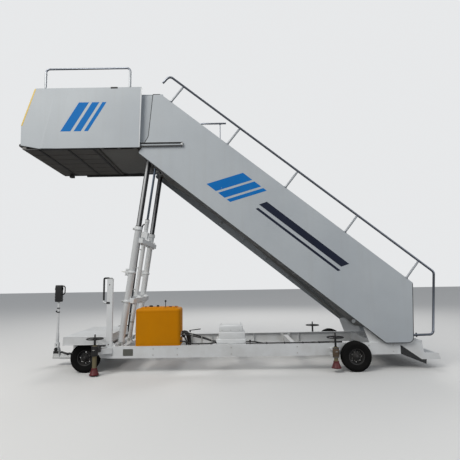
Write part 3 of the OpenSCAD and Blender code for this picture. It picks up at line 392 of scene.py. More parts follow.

# %% The lift's inner tubes: a painted highlight down the side that faces across the machine, painted dark reflection on the front and rear flanks
PAINTED_DARK_FLANK, PAINTED_DARK_FLANK_LIGHTER, PAINTED_HIGHLIGHT = (0.020, 0.021, 0.025), (0.034, 0.034, 0.036), (0.52, 0.53, 0.54)
lift_tube, tree, shader = start_material("lift tube")
facing = add_node(tree, "SeparateXYZ", {0: add_node(tree, "TexCoord").outputs["Normal"]}).outputs["X"]
rear_flank = math_node(tree, "SUBTRACT", 1.0, remap(tree, facing, 0.10, 0.34))
# Painted highlight: a bright band where the tube's normal points across the machine.
highlight_band = math_node(tree, "MULTIPLY", remap(tree, facing, -0.66, -0.46), rear_flank)
drift = remap(tree, noise(tree, object_space(tree), 1.4, 3.0), 0.3, 0.7)
wire(tree, shader, {
    "Base Color": mix_colour(tree, highlight_band, mix_colour(tree, drift, PAINTED_DARK_FLANK, PAINTED_DARK_FLANK_LIGHTER), PAINTED_HIGHLIGHT),
    "Roughness": remap(tree, highlight_band, 0.0, 1.0, 0.42, 0.30, smooth=False),
    "Specular IOR Level": 0.35,
})

lamp_lens, tree, shader = start_material("lamp lens")
ribs = add_node(tree, "TexWave", {"Scale": 60.0, "Vector": object_space(tree)}).outputs["Fac"]
wire(tree, shader, {
    "Normal": bump(tree, ribs, 0.4, 0.001),
    "Base Color": (0.72, 0.76, 0.78, 1),
    "Roughness": 0.12,
    "Coat Weight": 0.6,
})
print(len(bpy.data.materials), "materials")

# %% [markdown]
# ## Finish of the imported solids
# Sheet steel that is cut, folded and welded never has a knife edge: a small
# bevel on each solid catches the light along its edges. The solids arrive as
# loose triangles, so a Weld modifier joins them before the Bevel works.

# %% Paint and soften the solids
SLOT_FINISH = {
    "white_paint": white_paint,
    "panel_paint": panel_paint,
    "yellow_paint": yellow_paint,
    "dark_paint": dark_paint,
    "tube_paint": dark_tube,
    "jack": red_paint,
    "chromed_rod": chrome_rod,
    "steel": zinc,
    "tread_metal": tread_metal,
    "rim": rim_paint,
    "tyre": tyre_rubber,
    "rubber": hose_rubber,
}
OWN_FINISH = {
    **dict.fromkeys(("handrail_left", "handrail_right", "guard_rails", "stair_lamp"), stainless),
    # Stringers, links and the platform's frame are white steel whose shade is painted into a grey with grime
    # over it; the lift's beam shares that grey.
    **dict.fromkeys(("stringer_left", "stringer_right", "level_links"), grime_and_shade_grey),
    **dict.fromkeys(("lift_beam", "platform_frame"), grime_and_shade_grey),
    **dict.fromkeys(("cabin_floor", "cabin_tongue"), underside_grey),
    "leg_tubes": lift_tube,
}
SLOT_OF = {row["node"]: row["material_slot"] for row in frame["record"]["subparts"]}
WELD_REACH = 0.00002
EDGE_WIDTH = 0.0025
SHARP_EDGE = math.radians(40)


def soft_edges(piece, width):
    """A Bevel modifier on the sharp edges."""
    edge = piece.modifiers.new("bevel", "BEVEL")
    edge.width = width
    edge.segments = 2
    edge.limit_method = "ANGLE"
    edge.angle_limit = SHARP_EDGE


for name, solid in nodes.items():
    solid.data.materials.clear()
    solid.data.materials.append(OWN_FINISH.get(name, SLOT_FINISH[SLOT_OF[name]]))
    solid.modifiers.new("weld", "WELD").merge_threshold = WELD_REACH
    soft_edges(solid, EDGE_WIDTH)
print("finished", len(nodes), "solids")

# %% [markdown]
# ## Modelling helpers
# Every new piece starts as a bmesh. A few helpers name the steps that come
# back: a block between two corners, a round bar between two points, a
# profile spun round an axis, a plate cut to an outline, and a tube whose
# straight runs are extruded and whose corners are spun.

# %% Places on the machine, in metres
HINGE_X, HINGE_Z = 2.56, 0.64
GOING, RISE = 0.25, 0.2
SLOPE = math.atan2(RISE, GOING)
NOSE_X, FLOOR_Z = -0.92, 3.85
PANEL_TOP_W, PANEL_BOTTOM_W = 0.955, -0.125
RAIL_Y, RAIL_TOP = 0.78, 0.43
SUNK = RAIL_TOP - 0.001  # fittings on the rail begin just inside it
STAIR_HALF = 0.728
LEFT, RIGHT = -1, 1
SIDES = {LEFT: "left", RIGHT: "right"}
ENDS = (-1, 1)
UP = (0, 0, 1)


def flight(u, w):
    """Point [x, z] u metres up the slope from the hinge and w above it."""
    return (
        HINGE_X - u * math.cos(SLOPE) + w * math.sin(SLOPE),
        HINGE_Z + u * math.sin(SLOPE) + w * math.cos(SLOPE),
    )


def along(x, z):
    """Distance of a point up the slope."""
    return (HINGE_X - x) * math.cos(SLOPE) + (z - HINGE_Z) * math.sin(SLOPE)


def z_on(w, x):
    """Height at x of the line w above the hinge line."""
    return HINGE_Z + (HINGE_X - x) * math.tan(SLOPE) + w / math.cos(SLOPE)


def x_on(w, z):
    """Place along the machine where that line has height z."""
    return HINGE_X - (z - HINGE_Z - w / math.cos(SLOPE)) / math.tan(SLOPE)


# %% Basic shapes
VERT, EDGE = bmesh.types.BMVert, bmesh.types.BMEdge


def only(geometry, kind):
    """The verts or the edges of a mixed list."""
    return [item for item in geometry if isinstance(item, kind)]


def edges_of(verts):
    """Every edge that touches one of the verts."""
    return list({edge for vert in verts for edge in vert.link_edges})


def edges_along(bm, axis):
    """Edges of a plain block that run along axis 0, 1 or 2."""
    return [e for e in bm.edges if abs(e.verts[0].co[axis] - e.verts[1].co[axis]) > 0.001]


def soften(bm, edges, offset, segments):
    """Rounds edges."""
    bmesh.ops.bevel(
        bm, geom=edges, offset=offset, segments=segments, profile=0.5, affect="EDGES", material=-1
    )


def swing(bm, verts, matrix, centre=(0, 0, 0)):
    """Rotates verts about a centre."""
    bmesh.ops.rotate(bm, cent=centre, matrix=matrix, verts=verts)


def about_z(degrees):
    """A rotation about the upright axis."""
    return Matrix.Rotation(math.radians(degrees), 3, "Z")


def block(bm, corner, opposite):
    """A box between two opposite corners."""
    low, high = Vector([*map(min, corner, opposite)]), Vector([*map(max, corner, opposite)])
    made = bmesh.ops.create_cube(bm, size=1.0)["verts"]
    bmesh.ops.scale(bm, vec=high - low, verts=made)
    bmesh.ops.translate(bm, vec=low + (high - low) / 2, verts=made)
    return made


def bar(bm, start, end, radius, segments=12, end_radius=None):
    """A round bar or cone from start to end."""
    start, end = Vector(start), Vector(end)
    run = end - start
    made = bmesh.ops.create_cone(
        bm,
        cap_ends=True,
        segments=segments,
        radius1=radius,
        radius2=radius if end_radius is None else end_radius,
        depth=run.length,
    )["verts"]
    swing(bm, made, Vector(UP).rotation_difference(run).to_matrix())
    bmesh.ops.translate(bm, vec=(start + end) / 2, verts=made)


def slab(bm, corners, shift):
    """A flat outline of points, thickened by a shift."""
    made = [bm.verts.new(corner) for corner in corners]
    face = bm.faces.new(made)
    moved = only(bmesh.ops.extrude_face_region(bm, geom=[face])["geom"], VERT)
    bmesh.ops.translate(bm, vec=shift, verts=moved)
    bmesh.ops.recalc_face_normals(bm, faces=bm.faces)
    return made + moved


def plate(bm, outline, y, opposite_y):
    """An outline of [x, z] points cut from plate that lies across y."""
    low, high = sorted((y, opposite_y))
    return slab(bm, [(x, low, z) for x, z in outline], (0, high - low, 0))


def turned(bm, profile, centre, axis, steps=24):
    """A closed profile of [radius, place along axis], spun once round an axis."""
    axis = Vector(axis).normalized()
    out = axis.orthogonal().normalized()
    corners = [bm.verts.new(Vector(centre) + out * r + axis * s) for r, s in [*profile, profile[0]]]
    edges = [bm.edges.new(pair) for pair in zip(corners, corners[1:])]
    bmesh.ops.spin(
        bm, geom=corners + edges, cent=centre, axis=axis, angle=2 * math.pi, steps=steps, use_merge=True
    )
    bmesh.ops.remove_doubles(bm, verts=bm.verts, dist=0.00002)
    bmesh.ops.recalc_face_normals(bm, faces=bm.faces)


def tube(bm, points, radius, bend=0.05, segments=12, steps=6):
    """A round tube along points; its corners are spun to a bend radius."""
    points = [Vector(p) for p in points]
    heading = (points[1] - points[0]).normalized()
    ring = bmesh.ops.create_circle(bm, cap_ends=True, segments=segments, radius=radius)["verts"]
    swing(bm, ring, Vector(UP).rotation_difference(heading).to_matrix())
    bmesh.ops.translate(bm, vec=points[0], verts=ring)
    edges = edges_of(ring)
    here = points[0]
    for index in range(1, len(points)):
        corner = points[index]
        run = (corner - points[index - 1]).normalized()
        if index < len(points) - 1:
            after = (points[index + 1] - corner).normalized()
            angle = run.angle(after)
            reach = bend * math.tan(angle / 2)
            stop = corner - run * reach
        else:
            angle, stop = 0.0, corner
        grown = bmesh.ops.extrude_edge_only(bm, edges=edges)["geom"]
        edges = only(grown, EDGE)
        bmesh.ops.translate(bm, vec=stop - here, verts=only(grown, VERT))
        here = stop
        if angle > 0.001:
            axis = run.cross(after).normalized()
            middle = corner + (after - run).normalized() * bend / math.cos(angle / 2)
            loop = list({v for e in edges for v in e.verts}) + edges
            spun = bmesh.ops.spin(bm, geom=loop, cent=middle, axis=axis, angle=angle, steps=steps)
            edges = only(spun["geom_last"], EDGE)
            here = corner + after * reach
    bmesh.ops.contextual_create(bm, geom=edges)
    bmesh.ops.remove_doubles(bm, verts=bm.verts, dist=0.00001)
    bmesh.ops.recalc_face_normals(bm, faces=bm.faces)


def hex_bolt(bm, at, out, size, washer=True):
    """A hexagon head with its washer, standing out of a surface."""
    at, out = Vector(at), Vector(out).normalized()
    if washer:
        bar(bm, at - out * 0.001, at + out * size * 0.18, size * 1.15, 16)
    bar(bm, at, at + out * size * 0.75, size * 0.85, 6, size * 0.80)


# %% Turning a bmesh into a piece
SMOOTH_BELOW = math.radians(32)


def finish_piece(bm, name, body, material, bevel=0.0, smooth=True, stands_for=None):
    """Writes the bmesh to an object that rides on a body."""
    bmesh.ops.recalc_face_normals(bm, faces=bm.faces)
    data = bpy.data.meshes.new(name)
    bm.to_mesh(data)
    bm.free()
    data.materials.append(material)
    if smooth:
        data.shade_smooth()
        data.set_sharp_from_angle(angle=SMOOTH_BELOW)
    piece = into_scene(name, data)
    if bevel:
        soft_edges(piece, bevel)
    if stands_for:
        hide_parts(stands_for)
    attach(piece, body)


print("helpers ready")

# %% [markdown]
# ## Tyres
# The machine is towed at walking pace on four small road tyres. A tyre is a
# ring, so one section, bead to bead, is spun round the axle: the sidewall
# carries two raised rings, and the tread is four ribs. Each face of a rib is
# then inset by itself and lifted, which cuts the sipes between the blocks.

# %% Tyre section and tread
TYRE_R = 0.24
WHEELS = {
    f"{end}_{word}": (Vector((x, side * y, TYRE_R)), Vector((0, side, 0)))
    for end, x, y in (("front", -2.36, 0.625), ("rear", 2.11, 0.876)) for side, word in SIDES.items()
}
SIDEWALL = [
    (0.1285, 0.0535), (0.134, 0.062), (0.144, 0.0655), (0.1455, 0.068), (0.151, 0.0685),
    (0.1525, 0.067), (0.172, 0.0725), (0.188, 0.0742), (0.1895, 0.0748), (0.194, 0.0748),
    (0.1955, 0.0735), (0.21, 0.0716), (0.2235, 0.0655), (0.2335, 0.0585),
]
RIBS = [0.0545, 0.033, 0.0295, 0.002]
TREAD_R = 0.2362
SECTION = SIDEWALL + [(TREAD_R, s) for s in RIBS]
SECTION += [(r, -s) for r, s in reversed(SECTION)] + [(0.1285, -0.047), (0.1285, 0.047)]

for name, (axle, out) in WHEELS.items():
    bm = bmesh.new()
    turned(bm, SECTION, axle, out, 64)
    blocks = []
    for face in bm.faces:
        middle = face.calc_center_median() - axle
        wide = max(v.co.y for v in face.verts) - min(v.co.y for v in face.verts)
        if math.hypot(middle.x, middle.z) > TREAD_R - 0.002 and wide > 0.01:
            blocks.append(face)
    bmesh.ops.inset_individual(bm, faces=blocks, thickness=0.0022, depth=0.0034)
    finish_piece(bm, "tread_" + name, "wheel_" + name, tyre_rubber, stands_for="tyre_" + name)
print("tread blocks on each tyre", len(blocks))

# %% [markdown]
# ## Hubs
# The rims stay as they were packed. What the photograph adds is a ring of
# plated nuts on studs, given a dark grey as painted shade, and a dark grease
# cap over the bearing. Both are small turned or six sided shapes set on the
# rim's own face.

# %% Nuts, studs, caps and valves
NUTS, NUT_CIRCLE = 8, 0.072
CAP = [(0, 0.068), (0.012, 0.067), (0.02, 0.063), (0.0235, 0.055), (0.0245, 0.04), (0.031, 0.0385),
       (0.032, 0.034), (0, 0.034)]
for name, (axle, out) in WHEELS.items():
    bm = bmesh.new()
    for i in range(NUTS):
        turn = 2 * math.pi * (i + 0.5) / NUTS
        seat = axle + Vector((math.cos(turn), 0, math.sin(turn))) * NUT_CIRCLE
        bar(bm, seat, seat + out * 0.011, 0.0105, 16)
        bar(bm, seat + out * 0.01, seat + out * 0.023, 0.009, 6, 0.0086)
        bar(bm, seat + out * 0.022, seat + out * 0.03, 0.0045, 10)
    finish_piece(bm, "hub_nuts_" + name, "wheel_" + name, shaded_nut_metal, bevel=0.0006)
    bm = bmesh.new()
    turned(bm, CAP, axle, out, 32)
    stem = axle + Vector((0.095, 0, 0.03)) + out * 0.002
    bar(bm, stem, stem + out * 0.034 + Vector((0.006, 0, 0)), 0.0045, 10, 0.0035)
    finish_piece(bm, "hub_cap_" + name, "wheel_" + name, rim_paint)

# %% [markdown]
# ## Screw jacks
# Four screw jacks keep the machine steady at the aircraft. Each is a foot
# that a ball lets tilt, a tube that slides in its sleeve, and a spindle with
# a handwheel. All of it is round, so profiles spun round the spindle make
# the foot and the tube, and a ring of spun circle makes the handwheel.

# %% Feet, tubes and handwheels
JACK_Y, SLEEVE_H = 0.925, 0.154
FRONT_AND_REAR = (("front", -2.115, (0.02, 0.585, 0.316)), ("rear", 1.775, (0.07, 0.55, 0.234)))
JACKS = {
    f"{end}_{word}": (side, *(Vector((x, side * JACK_Y, z)) for z in heights))
    for end, x, heights in FRONT_AND_REAR for side, word in SIDES.items()
}
FOOT_PROFILE = [
    (0, 0), (0.076, 0), (0.08, 0.004), (0.08, 0.011), (0.074, 0.013), (0.068, 0.022), (0.054, 0.068),
    (0.046, 0.084), (0.046, 0.107), (0.043, 0.11), (0.034, 0.11), (0.034, 0.1), (0, 0.1),
]
FOOT_RIB = [(0.036, 0.012), (0.074, 0.012), (0.046, 0.098), (0.036, 0.098)]
WHEEL_R = 0.129
for name, (side, base, hub, sleeve) in JACKS.items():
    body = "jack_" + name
    top = sleeve.z + SLEEVE_H + 0.012
    bm = bmesh.new()
    turned(bm, FOOT_PROFILE, base, UP, 40)
    for i in range(4):
        rib = plate(bm, FOOT_RIB, -0.004, 0.004)
        swing(bm, rib, about_z(45 + 90 * i))
        bmesh.ops.translate(bm, vec=base, verts=rib)
    finish_piece(bm, "jack_foot_" + name, body, red_paint, stands_for=body)
    bm = bmesh.new()
    high = top - base.z
    turned(bm, [(0, 0.1), (0.034, 0.1), (0.034, high - 0.004), (0.03, high), (0, high)], base, UP, 32)
    finish_piece(bm, "jack_tube_" + name, body, ochre_paint)
    bm = bmesh.new()
    low = top - hub.z
    turned(bm, [(0, low - 0.002), (0.026, low - 0.002), (0.026, low + 0.006), (0.017, low + 0.01),
                (0.017, -0.016), (0.029, -0.014), (0.029, 0.012), (0.018, 0.015), (0.012, 0.018),
                (0.012, 0.066), (0.009, 0.07), (0, 0.07)], hub, UP)
    ring = bmesh.ops.create_circle(bm, segments=12, radius=0.009)["verts"]
    swing(bm, ring, Matrix.Rotation(math.pi / 2, 3, "X"))
    bmesh.ops.translate(bm, vec=hub + Vector((WHEEL_R, 0, 0)), verts=ring)
    bmesh.ops.spin(
        bm, geom=ring + edges_of(ring), cent=hub, axis=UP, angle=2 * math.pi, steps=48, use_merge=True
    )
    for i in range(3):
        spoke = about_z(120 * i) @ Vector((1, 0, 0))
        bar(bm, hub + spoke * 0.02, hub + spoke * 0.127, 0.0075, end_radius=0.006)
        bar(bm, hub + spoke * 0.112, hub + spoke * 0.127, 0.006, end_radius=0.0085)
    for i in range(6):
        thread = low + 0.018 + 0.006 * i
        turned(bm, [(0.0165, thread), (0.0185, thread + 0.002), (0.0165, thread + 0.004)], hub, UP)
    finish_piece(bm, "jack_wheel_" + name, body, black_paint)
print("jacks", len(JACKS))

# %% Collars, arms, sleeves and pins of the jacks
bm = bmesh.new()
for (_, _, _, base), z in product(JACKS.values(), (0, SLEEVE_H - 0.016)):
    turned(bm, [(0.0343, z), (0.049, z), (0.0505, z + 0.003), (0.0505, z + 0.013), (0.049, z + 0.016),
                (0.0343, z + 0.016)], base, UP, 36)
finish_piece(bm, "jack_collars", "chassis", dark_paint)
screws = bmesh.new()
for name, (side, foot, hub, base) in JACKS.items():
    x, _, sleeve = base
    pin = base + Vector((0, side * 0.04, SLEEVE_H * 0.62))
    bar(screws, pin, pin + Vector((0, side * 0.02, 0)), 0.006)
    handle = pin + Vector((0, side * 0.018, 0))
    bar(screws, handle - Vector((0.022, 0, 0)), handle + Vector((0.022, 0, 0)), 0.0035, 10)
    hex_bolt(screws, base + Vector((-0.043, -side * 0.012, 0.05)), (-1, 0, 0), 0.009)
    bm = bmesh.new()
    if x > 0:
        low, high = 0.0165, SLEEVE_H - 0.0165
        turned(bm, [(0.044, low), (0.05, low), (0.051, low + 0.002), (0.051, high - 0.002), (0.05, high),
                    (0.044, high)], base, UP, 36)
        finish_piece(bm, "jack_shell_" + name, "chassis", rusty_paint)
        continue
    low, high = 0.002, SLEEVE_H - 0.002
    turned(bm, [(0.044, low), (0.052, low), (0.0525, low + 0.004), (0.0525, high - 0.004), (0.052, high),
                (0.044, high)], base, UP, 36)
    arm = [(-1.948, 0.8062), (x, 0.94), (x, 0.896), (-1.97, 0.7885)]
    for rise in (0.013, 0.103):
        slab(bm, [(px, side * py, sleeve + rise) for px, py in arm], (0, 0, 0.002))
    block(bm, (x + 0.043, side * 0.88, sleeve + 0.062), (x + 0.092, side * 0.945, sleeve + 0.124))
    web = [(-1.945, 0.8052, 0.013), (x, 0.9385, 0.013), (x, 0.9385, 0.105), (-1.945, 0.8052, 0.105)]
    slab(bm, [(px, side * py, sleeve + pz) for px, py, pz in web], (0, side * 0.0014, 0))
    finish_piece(bm, "jack_arm_" + name, "chassis", black_paint)
finish_piece(screws, "jack_screws", "chassis", zinc, bevel=0.0005)

# %% [markdown]
# ## Power unit
# The orange yellow box holds the engine and the pump of the lift. It is a
# moulded cover with well rounded corners: a block whose upright edges and
# then top edges are bevelled. The lid's seam is a loop pushed in, and the
# lid carries two filler caps, a hinge rod and the lever of the valve.

# %% Cover with its lid seam
COVER_LOW, COVER_HIGH = Vector((-1.503, -0.78, 0.435)), Vector((-0.755, -0.36, 1.045))
LID_Z = COVER_HIGH.z + 0.016
SEAM_Z, BASE_Z = 0.9855, 0.468


def loop_at(bm, z, tolerance=0.0005):
    """Edges whose two ends lie at one height."""
    return [e for e in bm.edges if all(abs(v.co.z - z) < tolerance for v in e.verts)]


bm = bmesh.new()
block(bm, COVER_LOW, COVER_HIGH)
soften(bm, edges_along(bm, 2), 0.06, 8)
soften(bm, loop_at(bm, COVER_HIGH.z), 0.045, 6)
for z in (SEAM_Z + 0.0015, SEAM_Z - 0.0015, BASE_Z + 0.002, BASE_Z - 0.002):
    cut = bm.verts[:] + bm.edges[:] + bm.faces[:]
    bmesh.ops.bisect_plane(bm, geom=cut, dist=0.00001, plane_co=(0, 0, z), plane_no=UP)
seam = [f for f in bm.faces if min(abs(f.calc_center_median().z - z) for z in (SEAM_Z, BASE_Z)) < 0.001]
bmesh.ops.inset_region(bm, faces=seam, thickness=0.0001, depth=-0.0035, use_even_offset=True)
bottom = [f for f in bm.faces if f.normal.z < -0.9 and f.calc_center_median().z < COVER_LOW.z + 0.001]
bmesh.ops.delete(bm, geom=bottom, context="FACES_ONLY")
bmesh.ops.solidify(bm, geom=bm.faces[:], thickness=0.004)
finish_piece(bm, "power_cover", "chassis", yellow_paint, stands_for="power_unit")
print("cover", [round(v, 3) for v in COVER_HIGH - COVER_LOW])

# %% Raised lid, louvres and hinges of the cover
bm = bmesh.new()
block(bm, (-1.43, -0.725, COVER_HIGH.z - 0.004), (-0.825, -0.405, LID_Z))
soften(bm, edges_along(bm, 2), 0.05, 6)
soften(bm, loop_at(bm, LID_Z), 0.01, 4)
finish_piece(bm, "cover_lid", "chassis", yellow_paint)
bm = bmesh.new()
for i in range(7):
    low = 0.575 + 0.026 * i
    plate(bm, [(-0.7545, low), (-0.7545, low + 0.016), (-0.746, low + 0.002), (-0.746, low)], -0.64, -0.5)
for i in range(6):
    z = 0.6 + 0.026 * i
    block(bm, (-1.5035, -0.66, z), (-1.4975, -0.48, z + 0.01))
finish_piece(bm, "cover_louvres", "chassis", yellow_paint, 0.0015)
bm = bmesh.new()
for x in (-1.38, -0.9):
    bar(bm, (x - 0.03, -0.362, SEAM_Z), (x + 0.03, -0.362, SEAM_Z), 0.007, 14)
    for z in (SEAM_Z - 0.018, SEAM_Z + 0.018):
        block(bm, (x - 0.028, -0.361, z - 0.01), (x + 0.028, -0.358, z + 0.01))
finish_piece(bm, "cover_hinges", "chassis", zinc, 0.0012)

# %% Caps, lever and lights on the lid
bm = bmesh.new()
for x, y, r in ((-1.275, -0.58, 0.03), (-1.165, -0.54, 0.022)):
    turned(bm, [(0, 0.026), (r * 0.7, 0.026), (r, 0.02), (r, 0.004), (r * 1.2, 0.002), (r * 1.2, -0.002),
                (0, -0.002)], (x, y, LID_Z), UP, 28)
turned(bm, [(0, 0.118), (0.009, 0.1165), (0.0155, 0.108), (0.018, 0.099), (0.0155, 0.09), (0.008, 0.083),
            (0.0055, 0.08), (0.0055, 0.006), (0.013, 0.004), (0.02, 0.0015), (0.02, -0.002), (0, -0.002)],
       (-1.0093, -0.7, LID_Z), UP)
finish_piece(bm, "lid_caps_and_lever", "chassis", hose_rubber)
bm = bmesh.new()
for x, y, tall, r, segments in ((-0.93, -0.66, 0.012, 0.024, 24), (-0.85, -0.6, 0.01, 0.018, 24),
                                (-1.35, -0.66, 0.014, 0.015, 20)):
    bar(bm, (x, y, LID_Z - 0.003), (x, y, LID_Z + tall), r, segments)
finish_piece(bm, "lid_lights", "chassis", red_paint, 0.003)

# %% [markdown]
# ## Valve box
# The white box on the rail covers the valves of the lift. It is three tiers
# of folded sheet with soft corners, each a little smaller than the one below,
# and four knobs on top, so blocks are bevelled and the details bolted on.

# %% Three tiers of folded sheet, with a seam round each
TIERS = [
    (-0.162, 0.338, 0, 0.435, 0.518, 0.47), (-0.118, 0.328, 0.008, 0.515, 0.628, 0.585),
    (-0.108, 0.29, 0.016, 0.625, 0.733, 0.69),
]
bm = bmesh.new()
for rear, front, inset, low, high, seam in TIERS:
    made = block(bm, (rear, -0.7 + inset, low), (front, -0.35 - inset, high))
    soften(bm, edges_of(made), 0.012, 4)
for rear, front, inset, low, high, seam in TIERS:
    block(bm, (rear - 0.0012, -0.7012 + inset, seam), (front + 0.0012, -0.3488 - inset, seam + 0.005))
for x, y in product((-0.081, 0.257), (-0.66, -0.39)):
    turned(bm, [(0, 0), (0.006, 0), (0.006, 0.012), (0.01, 0.016), (0.01, 0.022), (0.007, 0.026), (0, 0.026)],
           (x, y, 0.731), UP, 16)
finish_piece(bm, "valve_cover", "chassis", white_paint, 0.001, stands_for="valve_box")
bm = bmesh.new()
for y in (-0.675, -0.525, -0.375):
    hex_bolt(bm, (-0.139, y, 0.518), UP, 0.008)
for y in (-0.65, -0.4):
    hex_bolt(bm, (0.309, y, 0.628), UP, 0.007)
    hex_bolt(bm, (0.29, y, 0.672), (1, 0, 0), 0.007)
for x in (-0.06, 0.086, 0.232):
    hex_bolt(bm, (x, -0.684, 0.66), (0, -1, 0), 0.006)
finish_piece(bm, "valve_cover_bolts", "chassis", zinc)

# %% Hoses out of the power unit to the valve box, held by clips
PORT_X = -0.757
LONG_PORTS = [(-0.7, 0.585), (-0.672, 0.61)]
SHORT_PORTS = [(-0.65, 0.625), (-0.62, 0.64), (-0.59, 0.628), (-0.56, 0.6), (-0.64, 0.57)]
bm = bmesh.new()
for i, (y, z) in enumerate(LONG_PORTS):
    tube(bm, [(PORT_X, y, z), (-0.7, y, z + 0.012), (-0.62, y, z + 0.01), (-0.524, y, z - 0.012),
              (-0.353, y + 0.004, 0.53 + 0.012 * i), (-0.24, y + 0.01, 0.492 + 0.004 * i),
              (-0.158, y + 0.02, 0.476)], 0.0105)
for i, (y, z) in enumerate(SHORT_PORTS):
    out = -0.6 - 0.018 * i
    tube(bm, [(PORT_X, y, z), (-0.7, y, z + 0.01), (out - 0.03, y - 0.01, z + 0.006),
              (out, y - 0.016, z - 0.06), (out + 0.01, y - 0.02, 0.5), (out + 0.012, y - 0.02, 0.392)],
         0.0125, 0.04)
for y, z, r in ((-0.735, 0.452, 0.011), (-0.708, 0.45, 0.009)):
    tube(bm, [(PORT_X, y - 0.004, z + 0.05), (-0.7, y, z + 0.045), (-0.55, y + 0.01, z), (-0.3, y + 0.01, z),
              (-0.155, y + 0.03, z + 0.01)], r)
finish_piece(bm, "oil_hoses_front", "chassis", hose_rubber)
bm = bmesh.new()
for x, top in ((-0.56, 0.6), (-0.4, 0.556), (-0.23, 0.508)):
    block(bm, (x - 0.008, -0.722, top - 0.034), (x + 0.008, -0.65, top + 0.012))
    block(bm, (x - 0.008, -0.664, RAIL_TOP), (x + 0.008, -0.652, top))
    for y in (-0.716, -0.656):
        hex_bolt(bm, (x, y, top + 0.012), UP, 0.005, washer=False)
for y, z in LONG_PORTS + SHORT_PORTS:
    bar(bm, (-0.756, y, z), (-0.736, y, z + 0.003), 0.0165, 6)
for x in (-0.45, -0.25):
    block(bm, (x - 0.01, -0.755, SUNK), (x + 0.01, -0.69, 0.4395))
finish_piece(bm, "hose_clips", "chassis", zinc, 0.0008)

# %% Pipe behind the valve box with its tap, and a lever tap by the hoses
TAP_X, PIPE_Y = 0.405, -0.72
bm = bmesh.new()
bar(bm, (TAP_X, PIPE_Y, SUNK), (TAP_X, PIPE_Y, 0.47), 0.008, 14)
tap = bmesh.ops.create_uvsphere(bm, u_segments=18, v_segments=9, radius=0.02)["verts"]
bmesh.ops.translate(bm, vec=(TAP_X, PIPE_Y, 0.484), verts=tap)
for z in (0.448, 0.475):
    tube(bm, [(0.335, -0.728, z), (0.47, -0.728, z), (0.62, -0.735, 0.448), (1.1, -0.735, 0.448),
              (1.6, -0.735, 0.448)], 0.0095)
for x in (0.68, 0.98, 1.28, 1.55):
    block(bm, (x - 0.009, -0.75, SUNK), (x + 0.009, PIPE_Y, 0.4615))
bar(bm, (-0.62, -0.56, 0.638), (-0.6, -0.56, 0.642), 0.02, 6)
bar(bm, (-0.608, -0.562, 0.655), (-0.43, -0.562, 0.674), 0.0065, end_radius=0.0085)
bar(bm, (-0.608, -0.562, 0.64), (-0.608, -0.562, 0.66), 0.01)
finish_piece(bm, "oil_pipe_rear", "chassis", hose_rubber)

# %% [markdown]
# ## Lift legs
# Two telescopic legs and a cylinder between them raise the stairs. The
# tubes are already there as solids; what makes them read as machinery is on
# them: clamp collars with bolts, a lock on each leg, oil hoses held by
# clips, and nuts on the pins. Everything is placed along the legs' own axis.

# %% A frame of reference along the legs
FOOT, HEAD = Vector((-1.783, 0, 0.45)), Vector((-1.325, 0, 3.72))
LEG = (HEAD - FOOT).normalized()
ACROSS = Vector((LEG.z, 0, -LEG.x))
LEAN = Matrix((ACROSS, Vector((0, 1, 0)), LEG)).transposed()
LEG_Y = 0.6
LEGS = (-LEG_Y, LEG_Y)


def at_y(y):
    """A step across the machine."""
    return Vector((0, y, 0))


def on_leg(s, out, y):
    """s metres up the leg's axis, out towards the stairs, and across at y."""
    return FOOT + LEG * s + ACROSS * out + at_y(y)


def leg_block(bm, corner, opposite):
    """A block whose corners are given as (out, y, s) beside the leg."""
    made = block(bm, corner, opposite)
    swing(bm, made, LEAN)
    bmesh.ops.translate(bm, vec=FOOT, verts=made)
    return made


# %% Clamp collars, lock boxes and gussets
bm = bmesh.new()
for y in LEGS:
    for s in (0.7, 1.2, 1.955):
        turned(bm, [(0.0552, s), (0.0665, s), (0.069, s + 0.004), (0.069, s + 0.034), (0.0665, s + 0.038),
                    (0.0552, s + 0.038)], FOOT + at_y(y), LEG, 36)
    for s, e in product((0.685, 1.955), ENDS):
        leg_block(bm, (-0.095, y + e * 0.018, s), (-0.06, y + e * 0.006, s + 0.038))
    lock = leg_block(bm, (-0.105, y - 0.03, 1.15), (-0.052, y + 0.03, 1.275))
    soften(bm, edges_of(lock), 0.006, 3)
leg_block(bm, (-0.062, -0.06, 1.83), (0.056, 0.06, 1.99))
leg_block(bm, (-0.066, -0.064, 1.815), (0.06, 0.064, 1.83))
for s, y in product((0.7, 1.74), (-0.48, -0.1, 0.1, 0.48)):
    leg_block(bm, (0.05, y - 0.004, s - 0.03), (0.113, y + 0.004, s + 0.11))
finish_piece(bm, "leg_collars", "leg_outer", white_paint, 0.001)

# %% Bolts and lock pins
bm = bmesh.new()
for y in LEGS:
    for s in (0.704, 1.974):
        bar(bm, on_leg(s, -0.08, y - 0.026), on_leg(s, -0.08, y + 0.026), 0.006)
    for e in ENDS:
        for s in (0.704, 1.974):
            hex_bolt(bm, on_leg(s, -0.08, y + e * 0.018), (0, e, 0), 0.01)
        for s in (1.18, 1.245):
            hex_bolt(bm, on_leg(s, -0.08, y + e * 0.03), (0, e, 0), 0.008)
    bar(bm, on_leg(1.212, -0.103, y), on_leg(1.212, -0.15, y), 0.009, 16)
    ring_at = on_leg(1.212, -0.158, y)
    route = [(0, -0.022, 0), (-0.02, -0.022, 0), (-0.02, 0.022, 0), (0, 0.022, 0), (0, -0.0215, 0)]
    tube(bm, [ring_at + Vector(step) for step in route], 0.003, 0.008, 8, 4)
for y, s in product((-0.045, 0.045), (1.86, 1.96)):
    hex_bolt(bm, on_leg(s, -0.062, y), -ACROSS, 0.008)
for y, e in product((-LEG_Y, 0, LEG_Y), ENDS):
    bar(bm, FOOT + at_y(y + e * 0.0365), FOOT + at_y(y + e * 0.042), 0.026, 24)
    hex_bolt(bm, FOOT + at_y(y + e * 0.041), (0, e, 0), 0.014)
finish_piece(bm, "leg_bolts", "leg_outer", zinc, 0.0004)

